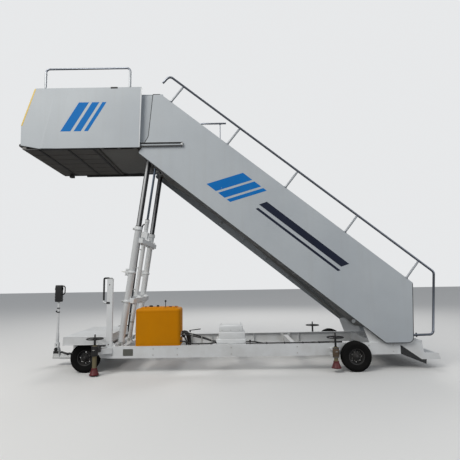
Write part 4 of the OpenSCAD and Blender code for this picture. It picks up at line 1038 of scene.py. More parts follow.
# %% Hoses clipped along the barrel and down to the foot
ROUTE = [(2.15, -0.04, 0.012), (2.12, -0.075, 0.02), (2.02, -0.084, 0.026), (1.5, -0.084, 0.026),
         (0.5, -0.06, 0.03), (0.22, -0.052, 0.03), (0.13, -0.034, 0.026)]
bm = bmesh.new()
for e in ENDS:
    tube(bm, [on_leg(s, out, e * y) for s, out, y in ROUTE], 0.0085, 0.06)
finish_piece(bm, "lift_hoses", "leg_outer", hose_rubber)
bm = bmesh.new()
for s, out in ((0.45, -0.088), (0.9, -0.088), (1.3, -0.088), (1.65, -0.1)):
    leg_block(bm, (out, -0.044, s), (-0.034, 0.044, s + 0.014))
turned(bm, [(0.0385, 0.3), (0.0405, 0.302), (0.0405, 0.328), (0.0385, 0.33)], FOOT, LEG, 32)
for e in ENDS:
    bar(bm, on_leg(0.13, -0.034, e * 0.026), on_leg(0.13, -0.05, e * 0.028), 0.012, 6)
    bar(bm, on_leg(2.15, -0.036, e * 0.012), on_leg(2.146, -0.052, e * 0.013), 0.012, 6)
finish_piece(bm, "lift_clips", "leg_outer", zinc, 0.0008)

# %% Wiper rings and nuts on the moving tubes
bm = bmesh.new()
for y in LEGS:
    turned(bm, [(0.0455, 2.015), (0.06, 2.015), (0.06, 2.024), (0.05, 2.032), (0.0455, 2.032)],
           FOOT + at_y(y), LEG, 36)
turned(bm, [(0.0225, 2.228), (0.04, 2.228), (0.04, 2.236), (0.03, 2.244), (0.0225, 2.244)], FOOT, LEG, 32)
finish_piece(bm, "lift_wipers", "leg_outer", hose_rubber)
bm = bmesh.new()
for e in ENDS:
    turned(bm, [(0, 0), (0.034, 0), (0.034, 0.005), (0.024, 0.007), (0, 0.007)],
           HEAD + at_y(e * (LEG_Y + 0.0705)), (0, e, 0))
    for i in range(4):
        turn = math.radians(45 + 90 * i)
        arm = Vector((math.cos(turn), 0, math.sin(turn))) * 0.043
        hex_bolt(bm, HEAD + arm + at_y(e * (LEG_Y + 0.07)), (0, e, 0), 0.006, washer=False)
finish_piece(bm, "head_caps", "leg_inner", zinc, 0.0004)
print("lift dressed")

# %% [markdown]
# ## Treads
# A tread is a folded channel with a grooved top that people can't slip on.
# The channel is a solid already. The ribs are thin bars across it and the
# nosing is a rounded strip of its own, both repeated down the flight, and
# each end is bolted to its stringer by a small angle.

# %% Ribs, nosings, end angles and their bolts
TREADS = [(NOSE_X + k * GOING, FLOOR_Z - k * RISE) for k in range(1, 17)]
RIB_END = STAIR_HALF - 0.012
bm = bmesh.new()
for (x, z), i in product(TREADS, range(11)):
    rib_x = x - 0.04 - 0.021 * i
    block(bm, (rib_x - 0.0045, -RIB_END, z - 0.001), (rib_x + 0.0045, RIB_END, z + 0.0028))
finish_piece(bm, "tread_ribs", "flight", tread_metal, 0.0008, smooth=False)
bm = bmesh.new()
for x, z in TREADS:
    plate(bm, [(x - 0.03, z - 0.0005), (x - 0.03, z + 0.0035), (x - 0.002, z + 0.0035), (x + 0.0025, z),
               (x + 0.0025, z - 0.022), (x - 0.0005, z - 0.022), (x - 0.0005, z - 0.0005)],
          -STAIR_HALF + 0.004, STAIR_HALF - 0.004)
finish_piece(bm, "tread_nosings", "flight", mat_rubber, 0.001)
bm = bmesh.new()
for (x, z), side, (wide, drop) in product(TREADS, SIDES, ((0.03, 0.0115), (0.005, 0.05))):
    block(bm, (x - GOING, side * STAIR_HALF, z - drop), (x - 0.05, side * (STAIR_HALF - wide), z - 0.0065))
finish_piece(bm, "tread_angles", "flight", white_paint, 0.0008)
bm = bmesh.new()
for (x, z), side, back in product(TREADS, SIDES, (0.22, 0.08)):
    hex_bolt(bm, (x - back, side * (STAIR_HALF - 0.005), z - 0.032), (0, -side, 0), 0.007)
finish_piece(bm, "tread_bolts", "flight", zinc)
print("treads", len(TREADS))

# %% [markdown]
# ## Side panels
# The two large panels are sheet steel on hidden ribs. Round their edge runs
# a dark strip, built as rubber, which is painted shadow for the thin line
# round them in the photograph. An outline is cut as a flat face, its corners
# are bevelled to their radius, and an inset leaves only the strip, which is
# then extruded.

# %% A strip that follows an outline
PANEL_FOOT, PANEL_HEAD = 0.43, 4.782
PANEL_ROWS = [
    (x_on(PANEL_BOTTOM_W, PANEL_FOOT), PANEL_FOOT, 0.06), (3.08, PANEL_FOOT, 0.09),
    (3.132, z_on(PANEL_TOP_W, 3.132), 0.025), (x_on(PANEL_TOP_W, PANEL_HEAD), PANEL_HEAD, 0.04),
    (-1.231, PANEL_HEAD, 0.015), (-1.307, 4.004, 0.12), (-1.482, z_on(PANEL_BOTTOM_W, -1.482), 0.03),
]


def rounded_face(bm, rows, y):
    """A flat face from rows of x, z and corner radius."""
    corners = [bm.verts.new((x, y, z)) for x, z, _ in rows]
    bm.faces.new(corners)
    for corner, (_, _, radius) in zip(corners, rows):
        if radius:
            before, after = [e.other_vert(corner).co - corner.co for e in corner.link_edges]
            reach = radius / math.tan(before.angle(after) / 2)
            bmesh.ops.bevel(
                bm, geom=[corner], offset=reach, segments=8, profile=0.5, affect="VERTICES", material=-1
            )
    bm.faces.ensure_lookup_table()
    return bm.faces[0]


def edge_strip(bm, rows, y, width, depth, keep):
    """A strip of a width inside an outline, extruded by depth along y."""
    face = rounded_face(bm, rows, y)
    bmesh.ops.inset_region(bm, faces=[face], thickness=width, depth=0.0, use_boundary=True)
    bmesh.ops.delete(bm, geom=[face], context="FACES_ONLY")
    away = [f for f in bm.faces if not keep(f.calc_center_median())]
    bmesh.ops.delete(bm, geom=away, context="FACES")
    made = bmesh.ops.extrude_face_region(bm, geom=bm.faces[:])["geom"]
    bmesh.ops.translate(bm, vec=(0, depth, 0), verts=only(made, VERT))


def below_the_top(middle):
    """True away from the panel's bare upper edge."""
    return along(middle.x, middle.z) < -1.2 or middle.z < z_on(PANEL_TOP_W - 0.03, middle.x)


for side, word in SIDES.items():
    bm = bmesh.new()
    # The dark strip round the panel is painted shadow along its edge, built as a rubber strip.
    edge_strip(bm, PANEL_ROWS, side * 0.841, 0.011, side * 0.0028, below_the_top)
    finish_piece(bm, "panel_edge_shadow_" + word, "flight", mat_rubber, 0.0008)

# %% Ribs behind the panels and bolts that hold them
PANEL_SKIN, RIB_FROM, RIB_TO = 0.8421, 0.8385, 0.8145
for side, word in SIDES.items():
    bm = bmesh.new()
    for i in range(9):
        u = -0.25 + 0.6 * i
        low_w, high_w = (-0.085, 0.945) if u > 0.2 else (0.05, 0.5)
        ends = ((u, low_w), (u + 0.05, low_w), (u + 0.05, high_w), (u, high_w))
        plate(bm, [flight(*end) for end in ends], side * RIB_FROM, side * RIB_TO)
    finish_piece(bm, "panel_ribs_" + word, "flight", panel_paint, 0.004)
    bm = bmesh.new()
    for u, (du, w) in product((0.53, 1.53, 2.53, 3.53, 4.38), ((-0.012, 0.245), (0.012, 0.275))):
        x, z = flight(u + du, w)
        hex_bolt(bm, (x, side * PANEL_SKIN, z), (0, side, 0), 0.006, washer=False)
    finish_piece(bm, "panel_bolts_" + word, "flight", panel_paint)

# %% [markdown]
# ## Stripes
# The operator's marks are left off. In their place the panels carry plain
# blue and navy stripes of about the same size and colour: thin film, cut
# slanted, so each stripe is a flat outline with almost no thickness.


# %% Stripes on the flight's panels
def film(bm, outline, side, y):
    """Thin film on a wall's outer face."""
    plate(bm, outline, side * y, side * (y + 0.0008))


def flight_stripe(bm, side, u_low, u_high, w_low, w_high, lean):
    """A stripe on the flight's panel that leans uphill."""
    ends = ((u_low, w_low), (u_low - lean, w_high), (u_high - lean, w_high), (u_high, w_low))
    film(bm, [flight(*end) for end in ends], side, PANEL_SKIN)


for side, word in SIDES.items():
    bm = bmesh.new()
    for u, wide in ((3.79, 0.205), (3.54, 0.145), (3.35, 0.075)):
        flight_stripe(bm, side, u - wide, u, 0.172, 0.712, 0.375)
    finish_piece(bm, "blue_stripes_" + word, "flight", blue_film, smooth=False)
    bm = bmesh.new()
    for low_w, high_w, lean in ((0.44, 0.56, 0.078), (0.345, 0.385, 0.026)):
        flight_stripe(bm, side, 1.13, 2.86, low_w, high_w, lean)
    finish_piece(bm, "navy_stripes_" + word, "flight", navy_film, smooth=False)

# %% [markdown]
# ## Handrail feet, lamp bar and hinge ends
# A tube that is only pushed into a panel looks wrong, so every post gets its
# flange and two screws. The lamp bar is a tube with end caps and two flat
# lenses under it. The hinges of the flight show their pin ends and washers.

# %% Feet of the handrail posts
# The top foot is cut flat where the level screen passes it as the flight rises.
HANDRAIL_Y = 0.827
FLAT_Y = HANDRAIL_Y - 0.0205
FIRST_U = along(-0.909, z_on(PANEL_TOP_W, -0.909))
UPHILL = Vector((-math.cos(SLOPE), 0, math.sin(SLOPE)))
SQUARE = Vector((math.sin(SLOPE), 0, math.cos(SLOPE)))
POST_PITCH = 1.262
POSTS = [flight(FIRST_U - i * POST_PITCH, PANEL_TOP_W) for i in range(5)]
FEET = [Vector((x, side * HANDRAIL_Y, z)) for side, (x, z) in product(SIDES, POSTS)]
bm = bmesh.new()
for foot in FEET:
    turned(bm, [(0.0142, 0), (0.03, 0), (0.03, 0.005), (0.019, 0.007), (0.0165, 0.016), (0.0142, 0.017)],
           foot, SQUARE)
    for e in ENDS:
        hex_bolt(bm, foot + UPHILL * e * 0.024 + SQUARE * 0.004, SQUARE, 0.0045, washer=False)
    turned(bm, [(0.0142, -0.006), (0.0155, -0.004), (0.0175, 0.004), (0.0142, 0.004)],
           foot + SQUARE * 0.346, SQUARE, 20)
for side in SIDES:
    turned(bm, [(0.0192, 0), (0.036, 0), (0.036, 0.005), (0.0225, 0.008), (0.0192, 0.008)],
           (3.1325, side * HANDRAIL_Y, 0.5552), (1, 0, 0))
for v in bm.verts:
    if v.co.x < -0.8 and abs(v.co.y) < FLAT_Y:
        v.co.y = math.copysign(FLAT_Y, v.co.y)
finish_piece(bm, "rail_flanges", "flight", stainless)
bm = bmesh.new()
for foot in FEET:
    turned(bm, [(0.0144, 0.01), (0.0185, 0.01), (0.0185, 0.33), (0.0165, 0.336), (0.0144, 0.336)],
           foot, SQUARE, 20)
finish_piece(bm, "post_sleeves", "flight", rail_sleeve)

# %% Lamp bar
LAMP_Y, LAMP_Z = HANDRAIL_Y - 0.0285, 4.88
bm = bmesh.new()
for x, e in ((-0.5, -1), (0.05, 1)):
    turned(bm, [(0, 0.002), (0.0165, 0.002), (0.0178, 0), (0.0178, -0.02), (0.0186, -0.02), (0.0186, -0.028),
                (0, -0.028)], (x - e * 0.002, LAMP_Y, LAMP_Z), (e, 0, 0))
block(bm, (-0.1, LAMP_Y - 0.014, 4.85), (-0.06, LAMP_Y + 0.014, 4.864))
finish_piece(bm, "lamp_caps", "flight", dark_tube, 0.001)
bm = bmesh.new()
for low, high in ((-0.465, -0.265), (-0.215, -0.015)):
    block(bm, (low, LAMP_Y - 0.011, 4.86), (high, LAMP_Y + 0.011, 4.869))
finish_piece(bm, "lamp_lenses", "flight", lamp_lens, 0.003)

# %% Hinge ends and the links' bosses
PIN_Y, LINK_Y = 0.7616, 0.783
PIN_END = [(0, 0.006), (0.03, 0.006), (0.034, 0.003), (0.034, 0), (0, 0)]
LINK_REAR, LINK_FRONT = Vector((2.54, 0, 0.53)), Vector((-0.98, 0, 3.62))
bm = bmesh.new()
for side in SIDES:
    turned(bm, PIN_END, (HINGE_X, side * PIN_Y, HINGE_Z), (0, side, 0), 28)
    turned(bm, [(0, 0.005), (0.011, 0.005), (0.013, 0.003), (0.013, 0), (0, 0)],
           LINK_REAR + at_y(side * 0.8026), (0, side, 0), 20)
finish_piece(bm, "hinge_ends", "chassis", zinc)
bm = bmesh.new()
for side in SIDES:
    for pin in (LINK_REAR, LINK_FRONT):
        turned(bm, [(0.0215, 0), (0.0295, 0), (0.0295, 0.0022), (0.0275, 0.0032), (0.0215, 0.0032)],
               pin + at_y(side * 0.7979), (0, side, 0), 28)
    for s in (0.1, 0.5, 0.9):
        at = LINK_REAR.lerp(LINK_FRONT, s) + at_y(side * LINK_Y)
        bar(bm, at - at_y(0.014), at + at_y(0.014), 0.01, 6)
finish_piece(bm, "link_bushes", "level_links", zinc)
print("flight dressed")

# %% [markdown]
# ## Boarding cabin
# The cabin is two flat walls of double sheet with a floor between them. Its
# plain look comes from trims: a yellow strip up the sloping front edge, a
# folded strip down the rear edge, a catch on top, sleeves round the guard
# rails, and a thick rubber buffer that meets the aircraft's skin.

# %% Walls' trims and stripes
CABIN_IN, CABIN_OUT = 0.885, 0.905
WALL_FOOT, WALL_TOP = 3.795, 4.89
CABIN_ROWS = [
    (-1.438, WALL_FOOT, 0), (-1.41, WALL_TOP, 0.012), (-3.29, WALL_TOP, 0.04), (-3.5, 4.22, 0.06),
    (-3.492, 3.86, 0.012), (-3.175, WALL_FOOT, 0.06),
]


def sloping_front(middle):
    """True along the inclined front edge of a wall."""
    return middle.x < -3.272 and middle.z > 4.14


def rear_edge(middle):
    """True along the upright rear edge of a wall."""
    return middle.x > -1.47 and 3.8 < middle.z < 4.885


for side, word in SIDES.items():
    bm = bmesh.new()
    edge_strip(bm, CABIN_ROWS, side * (CABIN_OUT - 0.022), 0.026, side * 0.0232, sloping_front)
    finish_piece(bm, "front_edge_" + word, "cabin", edge_yellow, 0.002)
    bm = bmesh.new()
    edge_strip(bm, CABIN_ROWS, side * (CABIN_OUT - 0.0006), 0.016, side * 0.0026, rear_edge)
    finish_piece(bm, "rear_edge_" + word, "cabin", white_paint, 0.0008)
    bm = bmesh.new()
    for front, rear in ((-2.816, -2.64), (-2.585, -2.46), (-2.405, -2.335)):
        outline = [(front, 4.097), (rear, 4.097), (rear + 0.31, 4.62), (front + 0.31, 4.62)]
        film(bm, outline, side, CABIN_OUT + 0.0001)
    finish_piece(bm, "cabin_stripes_" + word, "cabin", blue_film, smooth=False)

# %% A soft fold in the sheet of each wall's front corner
FOLD = [
    [(0.0003, -2.9, 3.799), (0.0003, -2.7, 4.884), (0.0065, -2.92, 4.884), (0.0065, -3.125, 3.799)],
    [(0.0005, -3.256, 4.884), (0.0005, -3.468, 4.212), (0.0005, -3.462, 3.876), (0.0005, -3.17, 3.799)],
]
for side, word in SIDES.items():
    bm = bmesh.new()
    sheet, front = [[bm.verts.new((x, side * (CABIN_OUT + out), z)) for out, x, z in row] for row in FOLD]
    bm.faces.new(sheet)
    bm.faces.new((sheet[3], sheet[2], *front))
    bmesh.ops.recalc_face_normals(bm, faces=bm.faces)
    bmesh.ops.solidify(bm, geom=bm.faces[:], thickness=0.0008)
    finish_piece(bm, "wall_fold_" + word, "cabin", panel_paint, smooth=False)

# %% Frame inside the walls, kick plates and grab bars
WALL_FRAME = [
    *((x - 0.02, x + 0.02, 3.9, 4.87, 0.012) for x in (-3.1, -2.58, -2.06, -1.56)),
    (-3.27, -1.43, 4.85, 4.884, 0.014), (-3.35, -1.44, 4.33, 4.36, 0.014), (-3.45, -2.13, 3.9, 4.02, 0.005),
]
bm = bmesh.new()
for side, (front, rear, low, high, deep) in product(SIDES, WALL_FRAME):
    block(bm, (front, side * CABIN_IN, low), (rear, side * (CABIN_IN - deep), high))
finish_piece(bm, "wall_frames", "cabin", panel_paint, 0.002)
GRAB_FRONT, GRAB_REAR, GRAB_Z = -3.05, -2.15, 4.64
bm = bmesh.new()
for side in SIDES:
    route = ((GRAB_FRONT, 0.01), (GRAB_FRONT, 0.06), (GRAB_REAR, 0.06), (GRAB_REAR, 0.01))
    tube(bm, [(x, side * (CABIN_IN - inward), GRAB_Z) for x, inward in route], 0.015, 0.04, 14)
    for x in (GRAB_FRONT, GRAB_REAR):
        turned(bm, [(0.0152, 0), (0.029, 0), (0.029, 0.004), (0.018, 0.006), (0.0152, 0.006)],
               (x, side * (CABIN_IN - 0.012), GRAB_Z), (0, -side, 0), 20)
finish_piece(bm, "grab_bars", "cabin", stainless)

# %% Flanges under the guard rails, and the catches
GUARD_Y, FLANGE_TOP = 0.889, 4.8935
bm = bmesh.new()
for side, x in product(SIDES, (-3.108, -1.619)):
    y = side * GUARD_Y
    turned(bm, [(0.0162, 0), (0.0215, 0), (0.0215, 0.3), (0.0195, 0.306), (0.0162, 0.308)],
           (x, y, WALL_TOP), UP)
    block(bm, (x - 0.045, y - 0.0145, 4.8895), (x + 0.045, y + 0.0145, FLANGE_TOP))
    for e in ENDS:
        hex_bolt(bm, (x + e * 0.033, y, FLANGE_TOP), UP, 0.0055, washer=False)
finish_piece(bm, "guard_flanges", "cabin", rail_sleeve, 0.0006)
bm = bmesh.new()
for side in SIDES:
    block(bm, (-1.956, side * 0.9085, 4.868), (-1.836, side * 0.88, 4.8965))
    block(bm, (-1.93, side * 0.9105, 4.8745), (-1.862, side * 0.908, 4.888))
finish_piece(bm, "top_catches", "cabin", hose_rubber, 0.004)

# %% [markdown]
# ## Cabin floor, buffer and underside
# People step from the treads onto the floor, so it has a ribbed rubber mat
# with a metal threshold. The buffer is a fat rubber section on brackets, and
# the underside shows boards, folded bearers and a work lamp.

# %% Mats, thresholds, boards and bearers
MAT_FOOT = 3.8675
MATS = {
    "cabin_mat": ((-3.398, -2.11, 0.828, 3.871), (-3.38, -2.125, 0.009, 3.8735), 16),
    "tongue_mat": ((-2.1, -1.504, 0.765, 3.87), (-2.09, -1.52, 0.008, 3.872), 15),
}
for name, ((front, rear, half, top), (rib_front, rib_rear, rib_half, rib_top), reach) in MATS.items():
    bm = bmesh.new()
    block(bm, (front, -half, MAT_FOOT), (rear, half, top))
    for i in range(-reach, reach + 1):
        y = 0.05 * i
        block(bm, (rib_front, y - rib_half, top - 0.0005), (rib_rear, y + rib_half, rib_top))
    finish_piece(bm, name, "cabin", mat_rubber, 0.0015, smooth=False)
bm = bmesh.new()
plate(bm, [(-3.4, 3.895), (-3.4, 3.8985), (-3.47, 3.8985), (-3.474, 3.895)], -0.87, 0.87)
plate(bm, [(-1.507, MAT_FOOT), (-1.497, 3.861), (-1.497, 3.86), (-1.5, 3.86), (-1.52, 3.8705)], -0.768, 0.768)
for i in range(9):
    hex_bolt(bm, (-3.437, -0.8 + 0.2 * i, 3.8985), UP, 0.0055, washer=False)
finish_piece(bm, "thresholds", "cabin", tread_metal, 0.0008)
bm = bmesh.new()
for i in range(6):
    y = -0.83 + 0.28 * i
    block(bm, (-3.44, y, 3.786), (-2.175, y + 0.26, 3.7955))
    for x, dy in product((-3.36, -2.8, -2.24), (0.03, 0.23)):
        bar(bm, (x, y + dy, 3.787), (x, y + dy, 3.7835), 0.007, 10, 0.006)
finish_piece(bm, "floor_boards", "cabin", underside_grey, 0.003)
bm = bmesh.new()
for x in (-3.2, -2.7, -2.26):
    plate(bm, [(x, 3.7865), (x + 0.04, 3.7865), (x + 0.04, 3.776), (x + 0.034, 3.772), (x + 0.006, 3.772),
               (x, 3.776)], -0.85, 0.85)
for side in SIDES:
    block(bm, (-3.44, side * 0.88, 3.78), (-2.17, side * 0.85, 3.7955))
block(bm, (-2.96, 0.853, 3.752), (-1.724, 0.887, 3.805))
finish_piece(bm, "floor_bearers", "cabin", dark_paint, 0.0015)

# %% Rubber buffer on its brackets, and the lamp under the floor
BUFFER_ROWS = (-0.88, -0.4, 0, 0.4, 0.88)
bm = bmesh.new()
turned(bm, [(0, -0.884), (0.0295, -0.884), *((0.03, y) for y in BUFFER_ROWS), (0.0295, 0.884), (0, 0.884)],
       (-3.5, 0, 3.865), (0, 1, 0), 28)
outer = [f for f in bm.faces if abs(f.normal.y) < 0.5 and f.normal.x < -0.2]
bmesh.ops.inset_individual(bm, faces=outer, thickness=0.0015, depth=-0.002)
finish_piece(bm, "front_buffer", "cabin", hose_rubber, stands_for="front_bumper")
bm = bmesh.new()
for i in range(7):
    y = -0.81 + 0.27 * i
    plate(bm, [(-3.468, 3.8), (-3.468, 3.896), (-3.48, 3.896), (-3.49, 3.88), (-3.49, 3.85), (-3.48, 3.822)],
          y - 0.016, y + 0.016)
    hex_bolt(bm, (-3.469, y + 0.035, 3.815), (-1, 0, 0), 0.007)
finish_piece(bm, "buffer_brackets", "cabin", dark_paint, 0.001)
bm = bmesh.new()
block(bm, (-3.272, 0.703, 3.704), (-3.188, 0.787, 3.775))
soften(bm, bm.edges[:], 0.014, 4)
block(bm, (-3.245, 0.69, 3.735), (-3.215, 0.8, 3.75))
for low, high in ((0.69, 0.697), (0.793, 0.8)):
    block(bm, (-3.248, low, 3.735), (-3.212, high, 3.797))
turned(bm, [(0, 0), (0.03, 0), (0.034, 0.004), (0.034, 0.012), (0, 0.012)], (-3.283, 0.745, 3.74), (1, 0, 0))
finish_piece(bm, "floor_lamp", "cabin", dark_paint, 0.0008, stands_for="cabin_lamp")
bm = bmesh.new()
turned(bm, [(0, -0.003), (0.018, -0.002), (0.027, 0.001), (0.027, 0.006), (0, 0.006)],
       (-3.2845, 0.745, 3.74), (1, 0, 0))
finish_piece(bm, "floor_lamp_lens", "cabin", lamp_lens)

# %% [markdown]
# ## Platform
# The platform stays level because the long links and the flight make a
# parallelogram. The cabin rolls in the two channels along its sides, which
# end in a stop; black strips along each channel are painted shadow that
# draws its dark lines. Its own floor has a chequered top.

# %% Channel stops, chequers and bolts
GUIDE_IN, GUIDE_FRONT, GUIDE_REAR = 0.85, -2.148, -0.713
bm = bmesh.new()
for side in SIDES:
    block(bm, (-0.712, side * GUIDE_IN, 3.8255), (-0.694, side * (GUIDE_IN + 0.0296), 3.8785))
    turned(bm, [(0, 0), (0.0175, 0), (0.0195, 0.003), (0.0195, 0.016), (0.013, 0.02), (0, 0.02)],
           (-0.7125, side * (GUIDE_IN + 0.016), 3.852), (-1, 0, 0), 20)
finish_piece(bm, "channel_stops", "platform", white_paint, 0.001)
bm = bmesh.new()
for side in SIDES:
    near, far = side * (GUIDE_IN + 0.0058), side * (GUIDE_IN + 0.007)
    block(bm, (GUIDE_FRONT, near, 3.839), (GUIDE_REAR, far, 3.865))
finish_piece(bm, "channel_webs", "platform", panel_paint, smooth=False)
# Black strips on each channel's web and flange edges: painted shadow lines under and over the flanges.
CHANNEL_SHADOW_STRIPS = [
    (3.8252, 3.839, 0.0058, 0.0073, GUIDE_REAR), (3.865, 3.8788, 0.0058, 0.0073, GUIDE_REAR),
    (3.8192, 3.825, 0.0298, 0.0308, -0.696), (3.879, 3.8848, 0.0298, 0.0308, -0.696),
]
bm = bmesh.new()
for side, (bottom, top, near, far, rear) in product(SIDES, CHANNEL_SHADOW_STRIPS):
    block(bm, (GUIDE_FRONT, side * (GUIDE_IN + near), bottom), (rear, side * (GUIDE_IN + far), top))
finish_piece(bm, "channel_shadow_strips", "platform", black_paint, smooth=False)


def chequers(bm, rows, columns, first, pitch, half, z_low, z_high):
    """Rows of small raised bars, turned one way and then the other."""
    for row, column in product(range(rows), range(columns)):
        odd = row % 2
        x = first[0] + pitch[0] * (column + odd / 2)
        y = first[1] + pitch[1] * row
        made = block(bm, (x - half[0], y - half[1], z_low), (x + half[0], y + half[1], z_high))
        swing(bm, made, about_z(45 if odd else -45), (x, y, z_low))


bm = bmesh.new()
chequers(bm, 19, 13, (-1.48, -0.72), (0.04, 0.08), (0.013, 0.003), 3.8505, 3.853)
finish_piece(bm, "platform_chequers", "platform", tread_metal, smooth=False)
PLATFORM_TOP = 3.851
EDGING = [(-0.919, PLATFORM_TOP), (-0.919, 3.854), (-0.955, 3.854), (-0.955, PLATFORM_TOP)]
bm = bmesh.new()
plate(bm, EDGING, -0.79, 0.79)
for side in SIDES:
    for x in (-0.99, -1.35, -1.7, -2.05):
        hex_bolt(bm, (x, side * (GUIDE_IN - 0.03), PLATFORM_TOP), UP, 0.007)
    turned(bm, PIN_END, (-0.96, side * PIN_Y, 3.73), (0, side, 0), 28)
finish_piece(bm, "platform_edge", "platform", zinc, 0.0006)
bm = bmesh.new()
for side in SIDES:
    for x in (-1.47, -1.29, -1.09):
        block(bm, (x - 0.016, side * 0.785, 3.86), (x + 0.016, side * 0.776, 4.77))
    block(bm, (-1.485, side * 0.808, 4.778), (-1.055, side * 0.78, 4.792))
finish_piece(bm, "screen_ribs", "platform", panel_paint, 0.003)
print("top dressed")

# %% [markdown]
# ## Chassis details
# The rails and the deck are finished with what a welder and a fitter leave:
# gussets, folded edges, bolts, a blank type plate, and on the deck a raised
# pattern so that nobody slips on it.

# %% Rails: gussets, plate, bolts
PLATE_X, PLATE_Z = (-1.684, -1.542), (0.295, 0.381)
bm = bmesh.new()
for side in SIDES:
    for x, e in product((-1.45, -0.8, 0.09, 1.18), ENDS):
        outline = [(x + e * 0.04, 0.31), (x + e * 0.04, 0.425), (x + e * 0.1, 0.425)]
        plate(bm, outline, side * 0.7, side * 0.706)
    for x in (-1.1, -0.3, 0.55, 1.45):
        block(bm, (x - 0.004, side * 0.7725, 0.2525), (x + 0.004, side * 0.722, 0.4275))
finish_piece(bm, "rail_gussets", "chassis", white_paint, 0.0008)
bm = bmesh.new()
block(bm, (-1.696, -0.783, 0.283), (-1.53, -0.7795, 0.393))
soften(bm, edges_along(bm, 1), 0.01, 4)
finish_piece(bm, "blank_plate", "chassis", plate_grey, 0.0006)
bm = bmesh.new()
for x, z in product(PLATE_X, PLATE_Z):
    bar(bm, (x, -0.7828, z), (x, -0.7848, z), 0.004, end_radius=0.003)
for side in SIDES:
    for x, z in product((-1.88, -1.2, -0.8, 0.09, 1.18, 2.36, 2.76), (0.29, 0.39)):
        hex_bolt(bm, (x, side * RAIL_Y, z), (0, side, 0), 0.008)
    hex_bolt(bm, (-2.03, side * RAIL_Y, 0.345), (0, side, 0), 0.01)
    for x, z in product((2.06, 2.16), (0.262, 0.288)):
        hex_bolt(bm, (x, side * 0.796, z), (0, side, 0), 0.01)
finish_piece(bm, "rail_bolts", "chassis", zinc)

# %% Lugs and washers at the feet of the legs
LUG = [(-1.817, 0.392), (-1.749, 0.392), (-1.7, 0.3925), (-1.749, 0.44)]
bm = bmesh.new()
for y in (-LEG_Y, 0, LEG_Y):
    for e in ENDS:
        lug_y = y + e * 0.036
        plate(bm, LUG, lug_y - 0.003, lug_y + 0.003)
    block(bm, (-1.8225, y - 0.06, 0.3885), (-1.7435, y + 0.06, 0.3935))
finish_piece(bm, "foot_gussets", "chassis", white_paint, 0.0008)

# %% Deck: raised pattern, edges, gussets and reflectors
bm = bmesh.new()
chequers(bm, 17, 15, (-2.658, -0.74), (0.044, 0.0925), (0.015, 0.0035), 0.5995, 0.6022)
finish_piece(bm, "deck_pattern", "chassis", white_paint, smooth=False)
DECK_FLANGES = ((0.4665, 0.476), (0.59, 0.5995))
bm = bmesh.new()
for side in SIDES:
    near, far = side * RAIL_Y, side * 0.7835
    for low, high in DECK_FLANGES:
        block(bm, (-2.692, near, low), (-1.98, far, high))
    for x in (-2.682, -2.33, -1.99):
        block(bm, (x - 0.006, near, 0.476), (x + 0.006, far, 0.59))
for low, high in DECK_FLANGES:
    block(bm, (-2.6985, -0.78, low), (-2.6945, 0.78, high))
for y in (-0.65, -0.22, 0.22, 0.65):
    plate(bm, [(-2.689, 0.478), (-2.689, 0.592), (-2.6, 0.592)], y - 0.003, y + 0.003)
finish_piece(bm, "deck_edges", "chassis", white_paint, 0.001)
bm = bmesh.new()
for y in (-0.6, 0.6):
    turned(bm, [(0, 0.006), (0.026, 0.006), (0.031, 0.003), (0.031, 0), (0, 0)],
           (-2.6945, y, 0.533), (-1, 0, 0), 28)
finish_piece(bm, "deck_reflectors", "chassis", edge_yellow)

# %% [markdown]
# ## Post, tow bar and tail
# The post on the corner holds a tube handle in sockets. The tow bar folds
# up: a white pole in a dark fork, and a dark cast head with a thumb loop.
# The head is a block whose edges are bevelled and whose eye is a turned
# bush, so the hole keeps the exact radius that the pin needs.

# %% Post: cap, sockets, seams and the clip that holds the handle
POST_Y, HANDLE_X, HANDLE_Z = -0.75, -2.04, 1.15
bm = bmesh.new()
block(bm, (-1.983, -0.783, 1.545), (-1.884, -0.717, 1.5505))
block(bm, (-1.983, -0.768, 1.129), (-1.9795, -0.732, 1.171))
plate(bm, [(-1.889, RAIL_TOP), (-1.822, RAIL_TOP), (-1.889, 0.52)], -0.753, -0.747)
block(bm, (-1.984, -0.784, RAIL_TOP), (-1.883, -0.778, 0.442))
finish_piece(bm, "post_cap", "chassis", white_paint, 0.001)
bm = bmesh.new()
turned(bm, [(0.0142, 0), (0.024, 0), (0.024, 0.005), (0.018, 0.01), (0.0142, 0.01)],
       (-1.983, POST_Y, HANDLE_Z), (-1, 0, 0), 20)
bar(bm, (-1.972, -0.79, HANDLE_Z), (-1.972, -0.7, HANDLE_Z), 0.007, 14)
block(bm, (-1.978, -0.7865, 1.135), (-1.93, -0.7795, 1.165))
block(bm, (-1.966, -0.77, 1.55), (-1.9, -0.73, 1.558))
for z in (1.45, 0.47):
    hex_bolt(bm, (-1.938, -RAIL_Y, z), (0, -1, 0), 0.008)
finish_piece(bm, "post_fittings", "chassis", hose_rubber, 0.001)
bm = bmesh.new()
tube(bm, [(HANDLE_X, POST_Y, 1.19), (HANDLE_X, POST_Y, 1.56), (-1.95, POST_Y, 1.56)], 0.0152, 0.02, 18)
for i in range(6):
    turned(bm, [(0.0148, 0), (0.0165, 0.002), (0.0165, 0.008), (0.0148, 0.01)],
           (HANDLE_X, POST_Y, 1.25 + 0.05 * i), UP, 20)
finish_piece(bm, "post_grip", "chassis", black_paint)

